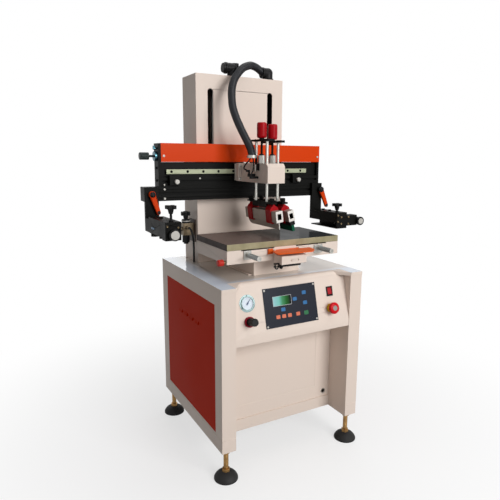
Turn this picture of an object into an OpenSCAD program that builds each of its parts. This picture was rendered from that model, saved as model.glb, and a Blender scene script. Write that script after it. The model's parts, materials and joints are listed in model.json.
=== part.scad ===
// Flatbed screen printer with a rising print head, two lift units and a cross-slide table
// Millimetres, +Z up, origin on the floor at the centre of the four feet, X right, Y to the back

/* [View] */
// Sub-part to draw on its own

/* [Cabinet] */
// Width over the side walls
cab_w = 550; // [510:10:700]
// Depth of the cabinet
cab_d = 540; // [440:10:700]
// Underside of the cabinet above the floor
cab_base = 105; // [60:5:150]
// Height of the worktop
cab_top = 650; // [550:10:800]
// Width of each front column
post_w = 50; // [30:5:80]
// Set-back of the front panel behind the columns
recess_d = 103; // [60:1:160]
// Sheet thickness
sheet = 2; // [1:0.5:4]
// Lean of the console panel from upright
console_lean = 14.26; // [5:0.01:40]
// Lower edge of the console slope
console_z = 482; // [420:1:560]
// Diameter of a levelling pad
pad_d = 80; // [50:1:100]

/* [Tower] */
// Width of the tower
tower_w = 364; // [300:2:440]
// Front face of the tower
tower_y0 = 127; // [100:1:160]
// Rear face of the tower
tower_y1 = 255; // [200:1:268]
// Top of the tower
tower_top = 1336; // [1200:2:1500]
// Slot centre from the middle
slot_x = 125; // [90:1:150]
// Slot width
slot_w = 22; // [16:1:30]
// Slot top
slot_z1 = 1286; // [1200:1:1300]
// Guide shaft diameter
shaft_d = 16; // [12:1:20]
// Guide shaft centre from the middle
shaft_x = 88; // [80:1:95]

/* [Table] */
// Width of the table
table_w = 440; // [300:5:440]
// Front edge of the table
table_y0 = -197; // [-230:1:-150]
// Rear edge of the table top
table_y1 = 48; // [0:1:100]
// Underside of the table top
table_z = 751.3; // [740:0.1:760]
// Working height of the table
table_top = 771.6; // [760:0.1:790]
// Underside of the table box
box_z = 707; // [700:0.5:715]

/* [Head] */
// Front plane of the head
head_y = 78.6; // [70:0.1:90]
// Half length between the end plates
head_x = 333.5; // [250:0.5:400]
// Underside of the clamp beam
beam_z = 892; // [880:1:900]
// Top of the clamp beam
beam_top = 941; // [930:1:950]
// Height of the stroke axis
stroke_z = 1045; // [1040:1:1050]
// Left end of the clamp beam
beam_x0 = -394; // [-400:1:-360]
// Right end of the clamp beam
beam_x1 = 335; // [334:1:400]

/* [Lift units] */
// Flood unit centre across
flood_x = -20; // [-24:0.5:-18]
// Squeegee unit centre across
squeegee_x = 23; // [21:0.5:26]
// Lift unit centre in depth
unit_y = -64; // [-70:1:-60]
// Distance between the two rods of a unit
rod_pitch = 75; // [60:1:90]
// Rod diameter
rod_d = 9.5; // [8:0.5:12]
// Height of the tilt axis
tilt_z = 880; // [878:1:882]
// Flood holder tilt
flood_tilt = 7; // [0:1:12]
// Squeegee holder tilt
squeegee_tilt = 14; // [12:1:24]
// Length of both holders
holder_l = 214; // [208:1:230]
// Front end of both holders
holder_y0 = -180; // [-185:1:-170]
// Adjusting cap diameter
cap_d = 34; // [24:1:38]

/* [Fits] */
// Clearance between a turning shaft and its hole, on the radius
run = 0.05; // [0.02:0.01:0.1]
// Gap between sliding faces
slip = 0.3; // [0.2:0.05:0.6]

/* [Hidden] */
hw = cab_w / 2;
hd = cab_d / 2;
inner_x = hw - post_w;
front_y = -hd;
panel_y = -hd + recess_d;
slope_y = -268.7;
bend_r = 16;
corner_y = slope_y + (cab_top - console_z) * tan(console_lean);
tx = tower_w / 2;
tb = table_w / 2;
shaft_y = 190;
foot_x = hw - 25;
foot_y = hd - 25;
gusset_x = inner_x - 42;
gauge_x = 53 - inner_x;
regulator_x = 53 - inner_x;
stop_x = inner_x - 75;
switch_x = inner_x - 71.5;
gauge_s = 108.5;
rail_z = 147;
air_x = -tx - 28.5;
cover_z0 = stroke_z - 19.3;
cover_z1 = stroke_z + 44;
holder_y1 = holder_y0 + holder_l;
hose_r = 14;
cyl_y = 100;
rod_y = [unit_y + rod_pitch / 2, unit_y - rod_pitch / 2];
cream = [0.85, 0.8, 0.75];
redorange = [0.78, 0.2, 0.1];
orange = [0.85, 0.32, 0.12];
black = [0.07, 0.07, 0.07];
steel = [0.72, 0.73, 0.72];
alloy = [0.62, 0.63, 0.62];
bronze = [0.5, 0.36, 0.22];
red = [0.7, 0.08, 0.12];
slate = [0.2, 0.21, 0.27];

// Block between two corners
module box(x, y, z) {
  translate([x[0], y[0], z[0]]) cube([x[1] - x[0], y[1] - y[0], z[1] - z[0]]);
}

// Child and its mirror image across the middle
module both() {
  children();
  mirror([1, 0, 0]) children();
}

// Round bar along X
module bar_x(x0, x1, y, z, r, n = 32) {
  translate([x0, y, z]) rotate([0, 90, 0]) cylinder(h = x1 - x0, r = r, $fn = n);
}

// Round bar along Y
module bar_y(y0, y1, x, z, r, n = 32) {
  translate([x, y1, z]) rotate([90, 0, 0]) cylinder(h = y1 - y0, r = r, $fn = n);
}

// Round bar along Z
module bar_z(z0, z1, x, y, r, n = 32) {
  translate([x, y, z0]) cylinder(h = z1 - z0, r = r, $fn = n);
}

// Child placed on the console slope, X across and Y up the slope
module on_slope(x, s) {
  translate([x, slope_y + s * sin(console_lean), console_z + s * cos(console_lean)])
    rotate([90 - console_lean, 0, 0]) children();
}

// Fluted knob from Z 0 up, with a slight neck under the grip
module fluted(r, h, n = 10, cut = 1.6) {
  difference() {
    union() {
      cylinder(h = h - 1.5, r = r, $fn = 40);
      translate([0, 0, h - 1.5]) cylinder(h = 1.5, r1 = r, r2 = r - 1.5, $fn = 40);
    }
    for (i = [0:n - 1])
      rotate([0, 0, i * 360 / n]) translate([r + cut * 0.6, 0, h * 0.12])
        cylinder(h = h, r = cut * 1.4, $fn = 14);
  }
}

// Four-lobed grip for a hand screw, with a tapered hub below it
module star(r, h) {
  translate([0, 0, -15]) cylinder(h = 15.5, r1 = r * 0.34, r2 = r * 0.53, $fn = 24);
  cylinder(h = h, r = r * 0.55, $fn = 24);
  for (i = [0:3])
    rotate([0, 0, i * 90 + 45]) translate([r * 0.62, 0, 0]) cylinder(h = h, r = r * 0.38, $fn = 16);
}

// Socket screw head along -Y at a face
module head_y_screw(x, y, z, r, h) {
  difference() {
    bar_y(y - h, y, x, z, r, 20);
    translate([x, y - h * 0.4, z]) rotate([90, 0, 0]) cylinder(h = h, r = r * 0.5, $fn = 6);
  }
}

// Points of a smooth curve through a list of points
function cr(p0, p1, p2, p3, t) = 0.5 * (2 * p1 + (p2 - p0) * t
  + (2 * p0 - 5 * p1 + 4 * p2 - p3) * t * t + (3 * p1 - p0 - 3 * p2 + p3) * t * t * t);
function at(p, i) = p[max(0, min(len(p) - 1, i))];
function smooth(p, k) = concat([for (i = [0:len(p) - 2]) for (j = [0:k - 1])
  cr(at(p, i - 1), at(p, i), at(p, i + 1), at(p, i + 2), j / k)], [p[len(p) - 1]]);
function unit(v) = v / norm(v);
function heading(q, i) = unit(at(q, i + 1) - at(q, i - 1));
function side_of(t, ref) = unit(cross(t, ref));

// Round flexible line swept along a curve through the points
module swept(p, r, k, n, ref) {
  q = smooth(p, k);
  m = len(q);
  ring = [for (i = [0:m - 1]) let (t = heading(q, i), a = side_of(t, ref), b = cross(t, a))
    for (j = [0:n - 1]) q[i] + r * (cos(360 * j / n) * a + sin(360 * j / n) * b)];
  walls = [for (i = [0:m - 2]) for (j = [0:n - 1])
    [i * n + j, (i + 1) * n + j, (i + 1) * n + (j + 1) % n, i * n + (j + 1) % n]];
  polyhedron(points = ring, faces = concat(walls,
    [[for (j = [0:n - 1]) j]], [[for (j = [n - 1:-1:0]) (m - 1) * n + j]]), convexity = 8);
}

module cabinet_frame() {
  color(cream) difference() {
    union() {
      both() {
        // front column with its cheek
        difference() {
          box([inner_x, hw], [front_y, -220], [cab_base, cab_top - 3]);
          box([inner_x + sheet, hw - sheet], [front_y + sheet, -220 - sheet],
            [cab_base + sheet, cab_top - 5]);
        }
        box([inner_x, inner_x + sheet], [-220, panel_y + 30], [cab_base, cab_top - 3]);
        // rear column
        difference() {
          box([inner_x, hw], [217, hd], [cab_base, cab_top - 3]);
          box([inner_x + sheet, hw - sheet], [217 + sheet, hd - sheet],
            [cab_base + sheet, cab_top - 5]);
        }
        // side rails, low and high
        difference() {
          box([inner_x + sheet, hw], [-220, 217], [cab_base, 158]);
          box([inner_x + 2 * sheet, hw - sheet], [-221, 218], [cab_base + sheet, 158 - sheet]);
        }
        difference() {
          box([inner_x + sheet, hw], [-220, 217], [592, cab_top - 3]);
          box([inner_x + 2 * sheet, hw - sheet], [-221, 218], [592 + sheet, cab_top - 5]);
        }
        // flanges behind the side panel
        box([hw - 3.5, hw - 1.5], [-220, -206], [158, 592]);
        box([hw - 3.5, hw - 1.5], [203, 217], [158, 592]);
      }
      // front and rear low rails
      difference() {
        box([-inner_x, inner_x], [panel_y - 4, panel_y + 30], [cab_base, rail_z]);
        box([-inner_x - 1, inner_x + 1], [panel_y - 4 + sheet, panel_y + 30 - sheet],
          [cab_base + sheet, rail_z - sheet]);
      }
      difference() {
        box([-inner_x, inner_x], [hd - 40, hd], [cab_base, 158]);
        box([-inner_x - 1, inner_x + 1], [hd - 40 + sheet, hd - sheet],
          [cab_base + sheet, 158 - sheet]);
      }
      // rear high rail and cross rails under the worktop
      box([-inner_x, inner_x], [hd - sheet, hd], [592, cab_top - 3]);
      box([-inner_x, inner_x], [-196, -194], [620, cab_top - 3]);
      box([-inner_x, inner_x], [100, 130], [cab_top - 25, cab_top - 3]);
      // floor pan
      box([-inner_x, inner_x], [panel_y + 30, hd - 40], [cab_base, cab_base + sheet]);
    }
    // seam between the base and the columns
    both() {
      box([inner_x - 1, hw + 1], [front_y - 1, front_y + 0.9], [149.4, 150.6]);
      box([hw - 0.9, hw + 1], [front_y - 1, hd + 1], [149.4, 150.6]);
      for (s = [-1, 1])
        bar_z(cab_base - 1, cab_base + 30, foot_x, s * foot_y, 8 + run);
    }
  }
}

module cabinet_top() {
  color(cream) {
    difference() {
      box([-hw, hw], [front_y, hd], [cab_top - 3, cab_top]);
      box([-inner_x, inner_x], [front_y - 1, -206], [cab_top - 4, cab_top + 1]);
      // way for cables into the tower
      box([-90, 90], [150, 240], [cab_top - 4, cab_top + 1]);
      bar_z(cab_top - 4, cab_top + 1, -tx - 8, 151, 4.4, 20);
    }
    both() box([inner_x, hw], [front_y - 1.5, front_y], [cab_top - 12, cab_top]);
  }
}

module console_panel() {
  cy = corner_y + bend_r * tan((90 - console_lean) / 2);
  cz = cab_top - bend_r;
  outer = [for (i = [0:6]) let (a = 180 - console_lean - i * (90 - console_lean) / 6)
    [cy + bend_r * cos(a), cz + bend_r * sin(a)]];
  inner = [for (i = [6:-1:0]) let (a = 180 - console_lean - i * (90 - console_lean) / 6)
    [cy + (bend_r - sheet) * cos(a), cz + (bend_r - sheet) * sin(a)]];
  color(cream) difference() {
    translate([-inner_x, 0, 0]) rotate([90, 0, 90]) linear_extrude(height = 2 * inner_x)
      polygon(concat([[panel_y, 457], [slope_y, 457], [slope_y, console_z]], outer,
        [[-206, cab_top], [-206, cab_top - sheet]], inner,
        [[slope_y + sheet, console_z - 0.3], [slope_y + sheet, 457 + sheet],
         [panel_y, 457 + sheet]]));
    on_slope(gauge_x, gauge_s) translate([0, 0, -5]) cylinder(h = 10, r = 22, $fn = 40);
    on_slope(regulator_x, 49.5) translate([0, 0, -5]) cylinder(h = 10, r = 9, $fn = 28);
    on_slope(stop_x, 48.5) translate([0, 0, -5]) cylinder(h = 10, r = 11, $fn = 28);
    on_slope(switch_x, 107) translate([-10.5, -14, -5]) cube([21, 28, 10]);
  }
  color(cream) both() {
    // corner of the worktop beside the slope, with its folded lip
    translate([0, 0, cab_top - sheet]) linear_extrude(height = sheet)
      polygon([[inner_x, front_y], [inner_x, -207], [gusset_x, -207], [gusset_x, cy - 3]]);
    translate([0, 0, cab_top - 12]) linear_extrude(height = 12)
      polygon([[inner_x, front_y], [inner_x, front_y + 3], [gusset_x + 2, cy],
        [gusset_x, cy], [gusset_x, cy - 3]]);
  }
}

module recess_panel() {
  color(cream) difference() {
    union() {
      box([-inner_x, inner_x], [panel_y, panel_y + sheet], [rail_z, 457]);
      box([-inner_x, inner_x], [panel_y, panel_y + 14], [rail_z, rail_z + 2]);
      bar_y(panel_y - 1.2, panel_y + 1, inner_x - 25, 168, 9.6, 32);
    }
    bar_y(panel_y - 2, panel_y + 5, inner_x - 25, 168, 7.4, 28);
    // shallow line round the access door
    difference() {
      box([45 - inner_x, inner_x - 65], [panel_y - 1, panel_y + 0.7], [196, 420]);
      box([46 - inner_x, inner_x - 66], [panel_y - 2, panel_y + 2], [197, 419]);
    }
  }
}

// Side panel on the right-hand side of the middle, with pressed louvres
module side_panel() {
  difference() {
    union() {
      box([hw - 1.5, hw], [-219.5, 216.5], [158.5, 591.5]);
      for (i = [0:3])
        translate([hw - 0.2, -64 + i * 50, 487]) rotate([90, 0, 0])
          linear_extrude(height = 28) polygon([[0, 0], [4.6, 0], [4.4, 3], [0, 14]]);
    }
    for (i = [0:3])
      translate([hw, -65 + i * 50, 487]) rotate([90, 0, 0]) linear_extrude(height = 26)
        polygon([[-3, -1], [3.2, -1], [3.2, 2.4], [-0.6, 11.5], [-3, 11.5]]);
  }
}

module side_panel_left() {
  color(redorange) mirror([1, 0, 0]) side_panel();
}

module side_panel_right() {
  color(redorange) side_panel();
}

module rear_panel() {
  color(cream) difference() {
    union() {
      box([-inner_x, inner_x], [hd - sheet, hd], [158, 592]);
      for (z = [420:22:530])
        box([-60, 60], [hd, hd + 1.2], [z, z + 5]);
    }
    box([-187, -143], [hd - 5, hd + 2], [206, 254]);
    bar_y(hd - 5, hd + 5, 150, 230, 9, 28);
  }
}

module power_inlet() {
  color(black) difference() {
    union() {
      box([-192, -138], [hd, hd + 3], [201, 259]);
      box([-187, -143], [hd - 25, hd], [206, 254]);
    }
    box([-179, -151], [hd - 14, hd + 4], [216, 236]);
    box([-181, -149], [hd - 6, hd + 4], [241, 250]);
  }
}

module foot_pads() {
  pr = pad_d / 2;
  color(black) both() for (s = [-1, 1]) translate([foot_x, s * foot_y, 0])
    rotate_extrude($fn = 40)
      polygon([[0, 0], [pr, 0], [pr, 5], [pr - 3, 11], [pr - 9, 18], [pr - 17, 23.5],
        [14, 27], [0, 27]]);
}

module foot_studs() {
  color(bronze) both() for (s = [-1, 1]) translate([foot_x, s * foot_y, 0]) {
    translate([0, 0, 27]) cylinder(h = 10, r = 13.5, $fn = 6);
    translate([0, 0, 37]) cylinder(h = 92, r = 8, $fn = 24);
    for (i = [0:9])
      translate([0, 0, 40 + i * 5]) cylinder(h = 2.4, r1 = 8, r2 = 8.7, $fn = 24);
    translate([0, 0, 93]) cylinder(h = 12, r = 13.9, $fn = 6);
  }
}

module tower_shell() {
  color(cream) difference() {
    box([-tx, tx], [tower_y0, tower_y1], [cab_top, tower_top]);
    box([-tx + sheet, tx - sheet], [tower_y0 + sheet, tower_y1 + 1],
      [cab_top - 1, tower_top - sheet]);
    both() {
      box([slot_x - slot_w / 2, slot_x + slot_w / 2], [tower_y0 - 1, tower_y0 + 3],
        [935, slot_z1 - slot_w / 2]);
      bar_y(tower_y0 - 1, tower_y0 + 3, slot_x, slot_z1 - slot_w / 2, slot_w / 2, 32);
    }
    for (x = [-25, 128])
      bar_z(tower_top - 5, tower_top + 1, x, 150, hose_r + 0.5, 28);
  }
}

module tower_rear_cover() {
  color(cream) difference() {
    union() {
      box([-tx + sheet, tx - sheet], [tower_y1 - sheet, tower_y1], [cab_top, tower_top - sheet]);
      both() for (i = [0:4])
        bar_y(tower_y1, tower_y1 + 2.5, tx - 14, cab_top + 40 + i * (tower_top - cab_top - 80) / 4,
          4, 16);
    }
    for (z = [900:20:980])
      box([-60, 60], [tower_y1 - 5, tower_y1 + 1], [z, z + 6]);
  }
}

module guide_shafts() {
  color(steel) both() bar_z(cab_top + 6, tower_top - 8, shaft_x, shaft_y, shaft_d / 2, 40);
}

module shaft_blocks() {
  color(alloy) both() {
    difference() {
      box([shaft_x - 26, shaft_x + 26], [shaft_y - 24, shaft_y + 24], [cab_top, cab_top + 30]);
      bar_z(cab_top + 6, cab_top + 31, shaft_x, shaft_y, shaft_d / 2, 40);
    }
    difference() {
      box([shaft_x - 26, shaft_x + 26], [shaft_y - 24, shaft_y + 24],
        [tower_top - 28, tower_top - 2]);
      bar_z(tower_top - 29, tower_top - 8, shaft_x, shaft_y, shaft_d / 2, 40);
    }
  }
}

module lift_cylinder() {
  color(alloy) difference() {
    union() {
      bar_z(cab_top + 2, 922, 0, shaft_y, 26, 40);
      box([-32, 32], [shaft_y - 32, shaft_y + 32], [918, 940]);
      box([-110, 110], [150, 238], [cab_top, cab_top + 4]);
    }
    bar_z(cab_top + 10, 930, 0, shaft_y, 20, 40);
    bar_z(925, 941, 0, shaft_y, 8 + run, 32);
  }
}

module conduit_elbows() {
  color(black) for (e = [[128, 20, 25.5], [-25, 24, 30]]) {
    translate([e[0], 150, tower_top]) difference() {
      union() {
        cylinder(h = 5, r = hose_r + 8.5, $fn = 36);
        translate([0, 0, 5]) cylinder(h = e[2] - 5, r = hose_r + 5, $fn = 36);
        translate([0, 0, e[2]]) sphere(r = hose_r + 5.4, $fn = 30);
        translate([0, 0, e[2]]) rotate([0, -90, 0])
          cylinder(h = e[1] + 4, r = hose_r + 5, $fn = 36);
        translate([-e[1], 0, e[2]]) rotate([0, -90, 0])
          cylinder(h = 8, r = hose_r + 6.4, $fn = 36);
      }
      translate([0, 0, -1]) cylinder(h = e[2] + 1, r = hose_r + 0.3, $fn = 30);
      translate([0, 0, e[2]]) sphere(r = hose_r + 0.3, $fn = 30);
      translate([0, 0, e[2]]) rotate([0, -90, 0])
        cylinder(h = e[1] + (e[0] > 0 ? 12 : 2), r = hose_r + 0.3, $fn = 30);
    }
    // blind cap and the access cover of the spare elbow
    if (e[0] < 0) {
      translate([e[0] - 32, 150, tower_top + e[2]]) rotate([0, -90, 0])
        cylinder(h = 8, r = 17, $fn = 30);
      translate([e[0] + 14, 150, tower_top + e[2] + 2]) cylinder(h = 17, r = 12, $fn = 30);
    }
  }
}

module conduit_hose() {
  h = tower_top;
  color(black) swept([[108, 150, h + 25.6], [101, 149.4, h + 28], [76, 143, h + 40],
    [47, 131, h + 44], [24, 118, h + 39], [-4, 105, h + 27], [-32, 90, h + 4], [-56, 75, h - 23],
    [-72, 60, h - 56], [-80, 45, h - 89], [-83, 30, h - 124], [-78, 12, h - 162],
    [-70, -6, h - 197], [-60, -24, h - 231], [-53, -40, h - 258], [-51, -49.4, h - 280],
    [-51, -50, h - 292]], hose_r, 2, 14, [0.3, 1, 0.1]);
}

module air_unit() {
  color([0.42, 0.37, 0.28]) {
    // bracket on the tower side
    box([-tx - 3, -tx], [145, 205], [726, 812]);
    difference() {
      union() {
        box([air_x - 16, -tx - 3], [159, 193], [752, 798]);
        bar_z(724, 752, air_x, 176, 14, 32);
        bar_z(718, 724, air_x, 176, 9, 28);
        bar_z(798, 812, air_x, 176, 15, 32);
        bar_z(804, 807, air_x, 176, 17, 32);
      }
      bar_z(795, 813, air_x, 176, 5 + run, 24);
    }
    // inlet and outlet fittings
    bar_y(140, 159, air_x - 1.5, 783, 6.5, 20);
    bar_y(193, 206, air_x - 1.5, 776, 7, 20);
    bar_x(air_x - 26, air_x - 16, 176, 776, 8, 24);
  }
}

module air_unit_knob() {
  color(black) translate([air_x, 176, 0]) {
    translate([0, 0, 796]) cylinder(h = 20, r = 5, $fn = 24);
    translate([0, 0, 814]) cylinder(h = 13, r1 = 8, r2 = 10, $fn = 32);
    translate([0, 0, 826]) linear_extrude(height = 14) union() {
      circle(r = 12, $fn = 36);
      for (i = [0:5]) rotate([0, 0, i * 60 + 14]) translate([13, 0]) circle(r = 6, $fn = 20);
    }
    translate([0, 0, 839]) cylinder(h = 3.5, r1 = 10, r2 = 8, $fn = 32);
  }
}

module air_hose() {
  x = air_x - 1.5;
  color(black) swept([[x, 139.6, 783], [x, 130, 782], [x + 0.3, 120.5, 777.5],
    [x + 1, 113, 769], [x + 2, 109, 757], [x + 3.6, 108.5, 744], [x + 6, 111.5, 729],
    [x + 9.5, 118.5, 712], [x + 13.5, 128.5, 695], [x + 17.5, 138.5, 679],
    [x + 20.6, 146.4, 666], [-tx - 8, 150.4, 655], [-tx - 8, 151, 646],
    [-tx - 8, 151, 636]], 3.8, 3, 10, [1, 0.3, 0.2]);
}

module pressure_gauge() {
  color(black) on_slope(gauge_x, gauge_s) {
    difference() {
      union() {
        cylinder(h = 2, r = 28, $fn = 48);
        cylinder(h = 6, r = 22.5, $fn = 48);
        translate([0, 0, -26]) cylinder(h = 27, r = 21.6, $fn = 40);
        translate([0, 0, -38]) cylinder(h = 13, r = 6, $fn = 20);
      }
      translate([0, 0, 2.6]) cylinder(h = 4, r = 19.8, $fn = 48);
      translate([0, 0, -1]) cylinder(h = 5, r = 1.5 + run, $fn = 16);
    }
    // screws of the flange
    for (a = [90, 210, 330]) rotate([0, 0, a]) translate([25.2, 0, 1.9])
      cylinder(h = 1.1, r1 = 2.2, r2 = 1.6, $fn = 16);
  }
}

module gauge_needle() {
  color(red) on_slope(gauge_x, gauge_s) rotate([0, 0, -40]) {
    translate([0, 0, -0.6]) cylinder(h = 5.2, r = 1.5, $fn = 16);
    translate([0, 0, 3.4]) cylinder(h = 1.4, r = 2.8, $fn = 20);
    translate([0, 0, 3.5]) linear_extrude(height = 0.9)
      polygon([[-2, -6], [2, -6], [0.5, 16], [-0.5, 16]]);
  }
}

module regulator_ring() {
  color(red) on_slope(regulator_x, 49.5) difference() {
    union() {
      cylinder(h = 8, r = 17, $fn = 40);
      translate([0, 0, -32]) cylinder(h = 33, r = 8.9, $fn = 28);
    }
    translate([0, 0, 3]) cylinder(h = 6, r = 13.4, $fn = 40);
    translate([0, 0, -20]) cylinder(h = 30, r = 4 + run, $fn = 24);
  }
}

module regulator_knob() {
  color(black) on_slope(regulator_x, 49.5) {
    translate([0, 0, -18]) cylinder(h = 24, r = 4, $fn = 24);
    translate([0, 0, 4]) fluted(12.5, 38, 12, 1.3);
  }
}

module overlay_base() {
  color(slate) on_slope(-9.5, 81) {
    translate([-103, -65, 0]) cube([206, 130, 1.6]);
    for (x = [-97, 97]) for (y = [-59, 59])
      translate([x, y, 1.6]) cylinder(h = 1.4, r1 = 3.6, r2 = 2.6, $fn = 16);
  }
}

module display_window() {
  color([0.3, 0.36, 0.3]) on_slope(-43, 100.5) translate([-35, -15, 1.6]) cube([70, 30, 0.8]);
}

// Rounded key pad lying on the control plate
module key_pad(x, s, w, h) {
  on_slope(x, s) translate([0, 0, 1.6]) linear_extrude(height = 0.7)
    offset(r = 2.5, $fn = 16) square([w - 5, h - 5], center = true);
}

module keys_blue() {
  color([0.15, 0.35, 0.65]) {
    key_pad(46, 116.5, 16, 12);
    key_pad(7, 99.5, 16, 12);
    key_pad(46.5, 82.5, 16, 12);
    key_pad(-42, 71, 16, 12);
  }
}

module keys_orange() {
  color([0.8, 0.45, 0.2]) for (x = [-64, -41.5, -19, 14]) key_pad(x, 49, 15, 12);
}

module key_green() {
  color([0.2, 0.5, 0.3]) key_pad(47, 48.5, 17, 13);
}

module rocker_bezel() {
  color(black) on_slope(switch_x, 107) difference() {
    union() {
      translate([-13, -17, 0]) cube([26, 34, 2.4]);
      translate([-10.4, -13.9, -20]) cube([20.8, 27.8, 20]);
    }
    translate([-8.4, -12.4, -14]) cube([16.8, 24.8, 20]);
    translate([-9.9, 0, -5]) rotate([0, 90, 0]) cylinder(h = 19.8, r = 1.5 + run, $fn = 16);
  }
}

module power_rocker() {
  color([0.16, 0.16, 0.17]) on_slope(switch_x, 107) translate([0, 0, -5]) rotate([-8, 0, 0]) {
    translate([-8, 0, 0]) rotate([90, 0, 90]) linear_extrude(height = 16)
      polygon([[-11.3, 6.2], [0, 8], [11.3, 6.2], [11.3, 1], [4, -4], [-4, -4], [-11.3, 1]]);
    translate([-9.5, 0, 0]) rotate([0, 90, 0]) cylinder(h = 19, r = 1.5, $fn = 16);
  }
}

module estop_collar() {
  color([0.85, 0.7, 0.1]) on_slope(stop_x, 48.5) difference() {
    union() {
      cylinder(h = 3, r = 15.5, $fn = 40);
      translate([0, 0, 3]) cylinder(h = 7, r = 13, $fn = 32);
      translate([0, 0, -34]) cylinder(h = 35, r = 10.9, $fn = 28);
    }
    translate([0, 0, -26]) cylinder(h = 40, r = 6 + run, $fn = 28);
  }
}

module estop_button() {
  color([0.75, 0.1, 0.08]) on_slope(stop_x, 48.5) {
    translate([0, 0, -18]) cylinder(h = 34, r = 6, $fn = 28);
    translate([0, 0, 15]) rotate_extrude($fn = 40)
      polygon([[0, 0], [15, 0], [20, 2.5], [20, 8], [18.5, 11], [14, 13], [9, 13.6], [9, 12.8],
        [0, 12.8]]);
  }
}

module table_pedestal() {
  color(cream) difference() {
    union() {
      box([-98, 84], [-153, 108], [cab_top, box_z - slip]);
      box([-112, 98], [-140, 100], [cab_top, cab_top + 3]);
    }
    box([-95.5, 81.5], [-150.5, 105.5], [cab_top - 1, box_z - slip - 5]);
  }
}

module table_box() {
  color(cream) difference() {
    union() {
      box([-tb, tb], [table_y0, 40], [box_z, 750.8]);
      both() box([tb - 22, tb - 2], [table_y0 + 4, 38], [740, 751]);
    }
    box([-tb + 2.5, tb - 2.5], [table_y0 + 2.5, 37.5], [box_z + 3, 740]);
    box([-tb + 22, tb - 22], [table_y0 + 2.5, 37.5], [739, 752]);
    // gaps under the table edge
    box([-169, -46], [table_y0 - 1, table_y0 + 3], [747.6, 752]);
    box([42, 168], [table_y0 - 1, table_y0 + 3], [747.6, 752]);
    for (x = [-146, 137])
      bar_y(table_y0 - 1, table_y0 + 4, x, 733.5, 5 + run, 24);
    bar_x(-tb - 1, -tb + 4, -185, 713.5, 3.2 + run, 24);
  }
}

module bracket_block() {
  color(cream) difference() {
    union() {
      box([-48.7, 48.7], [-249.6, table_y0], [700, 728]);
      // lugs that carry the lever
      for (x = [-50, 46.3]) translate([x, 0, 0]) {
        box([0, 3.7], [-206.5, table_y0], [728, 744]);
      }
    }
    for (x = [-12, 15])
      bar_y(-251, -246, x, 712, 3.2, 20);
    bar_x(-51, 51, -202, 739.8, 1.6 + run, 16);
  }
}

module bracket_hook() {
  color(black) {
    // hook of round bar
    bar_z(691, 700, -63, -232, 2.2, 16);
    translate([-57, -232, 691]) rotate([90, 0, 0]) rotate_extrude(angle = -180, $fn = 24)
      translate([6, 0]) circle(r = 2.2, $fn = 12);
    bar_z(691, 696, -51, -232, 2.2, 16);
    box([-66, -48.7], [-236, -226], [700, 704]);
    // short lever and bar under the block
    box([-46, -20], [-243, -222], [692, 700]);
    translate([-40, -232, 690]) sphere(r = 6.5, $fn = 20);
    box([-24, 26], [-249, -240], [693.5, 700]);
  }
}

module lever_catch() {
  color(orange) {
    box([-71.7, -52], [table_y0 - 2.5, table_y0], [729.5, 746.8]);
    box([-71.7, -69], [table_y0 - 8, table_y0 - 2.5], [729.5, 746.8]);
  }
}

module adjuster_bases() {
  color(steel) difference() {
    union() {
      box([-161, -134], [table_y0 - 4, table_y0], [719, 748]);
      box([115, 150], [table_y0 - 4, table_y0], [717, 746]);
    }
    for (x = [-146, 137])
      bar_y(table_y0 - 5, table_y0 + 1, x, 733.5, 5 + run, 24);
  }
}

module side_knob() {
  color(red) {
    bar_x(-tb - 26, -tb - 8, -185, 713.5, 10.5, 32);
    bar_x(-tb - 28, -tb - 26, -185, 713.5, 8.8, 32);
    bar_x(-tb - 9, -tb + 12, -185, 713.5, 3.2, 24);
    bar_x(-tb - 8.5, -tb - slip, -185, 713.5, 6.5, 24);
  }
}

module table_plate() {
  color([0.3, 0.3, 0.32]) difference() {
    union() {
      box([-tb, tb], [table_y0, table_y1], [table_z, table_top]);
      // lugs that take the adjusting screws
      for (x = [-146, 137])
        box([x - 14, x + 14], [-172, -158], [722, table_z]);
    }
    for (x = [-146, 137])
      bar_y(-173, -157, x, 733.5, 5 + run, 24);
    // vacuum holes in the printing area
    for (x = [-90:60:90]) for (y = [-140:60:-20])
      bar_z(table_z - 1, table_top + 1, x, y, 1.4, 14);
  }
}

// Knurled adjusting screw along Y
module adjuster(x, y0) {
  bar_y(table_y0 - 10, -150, x, 733.5, 5, 24);
  translate([x, table_y0 - 4 - slip, 733.5]) rotate([90, 0, 0]) {
    cylinder(h = 6, r = 6.2, $fn = 24);
    translate([0, 0, 6]) difference() {
      cylinder(h = table_y0 - 10 - slip - y0, r = 8.25, $fn = 32);
      for (i = [0:15]) rotate([0, 0, i * 22.5]) translate([8.7, 0, 3])
        cylinder(h = 54, r = 0.9, $fn = 6);
      translate([0, 0, table_y0 - 12 - slip - y0]) cylinder(h = 6, r = 4, $fn = 6);
    }
  }
}

module adjuster_left() {
  color(steel) adjuster(-146, -273);
}

module adjuster_right() {
  color(steel) adjuster(137, -269);
}

module table_lever() {
  color(orange) {
    translate([0, 0, 738.2]) linear_extrude(height = 3.2)
      polygon([[-45.8, -202], [-45.8, -208.5], [-60, -208.5], [-72, -252], [-71, -259],
        [-65, -263], [52, -271], [60, -269], [80, -250], [86, -236], [88, -208.5],
        [45.8, -208.5], [45.8, -202]]);
    bar_x(-45.8, 45.8, -202, 739.8, 3.1, 20);
    bar_x(-49.8, 49.8, -202, 739.8, 1.6, 16);
  }
}

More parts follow.
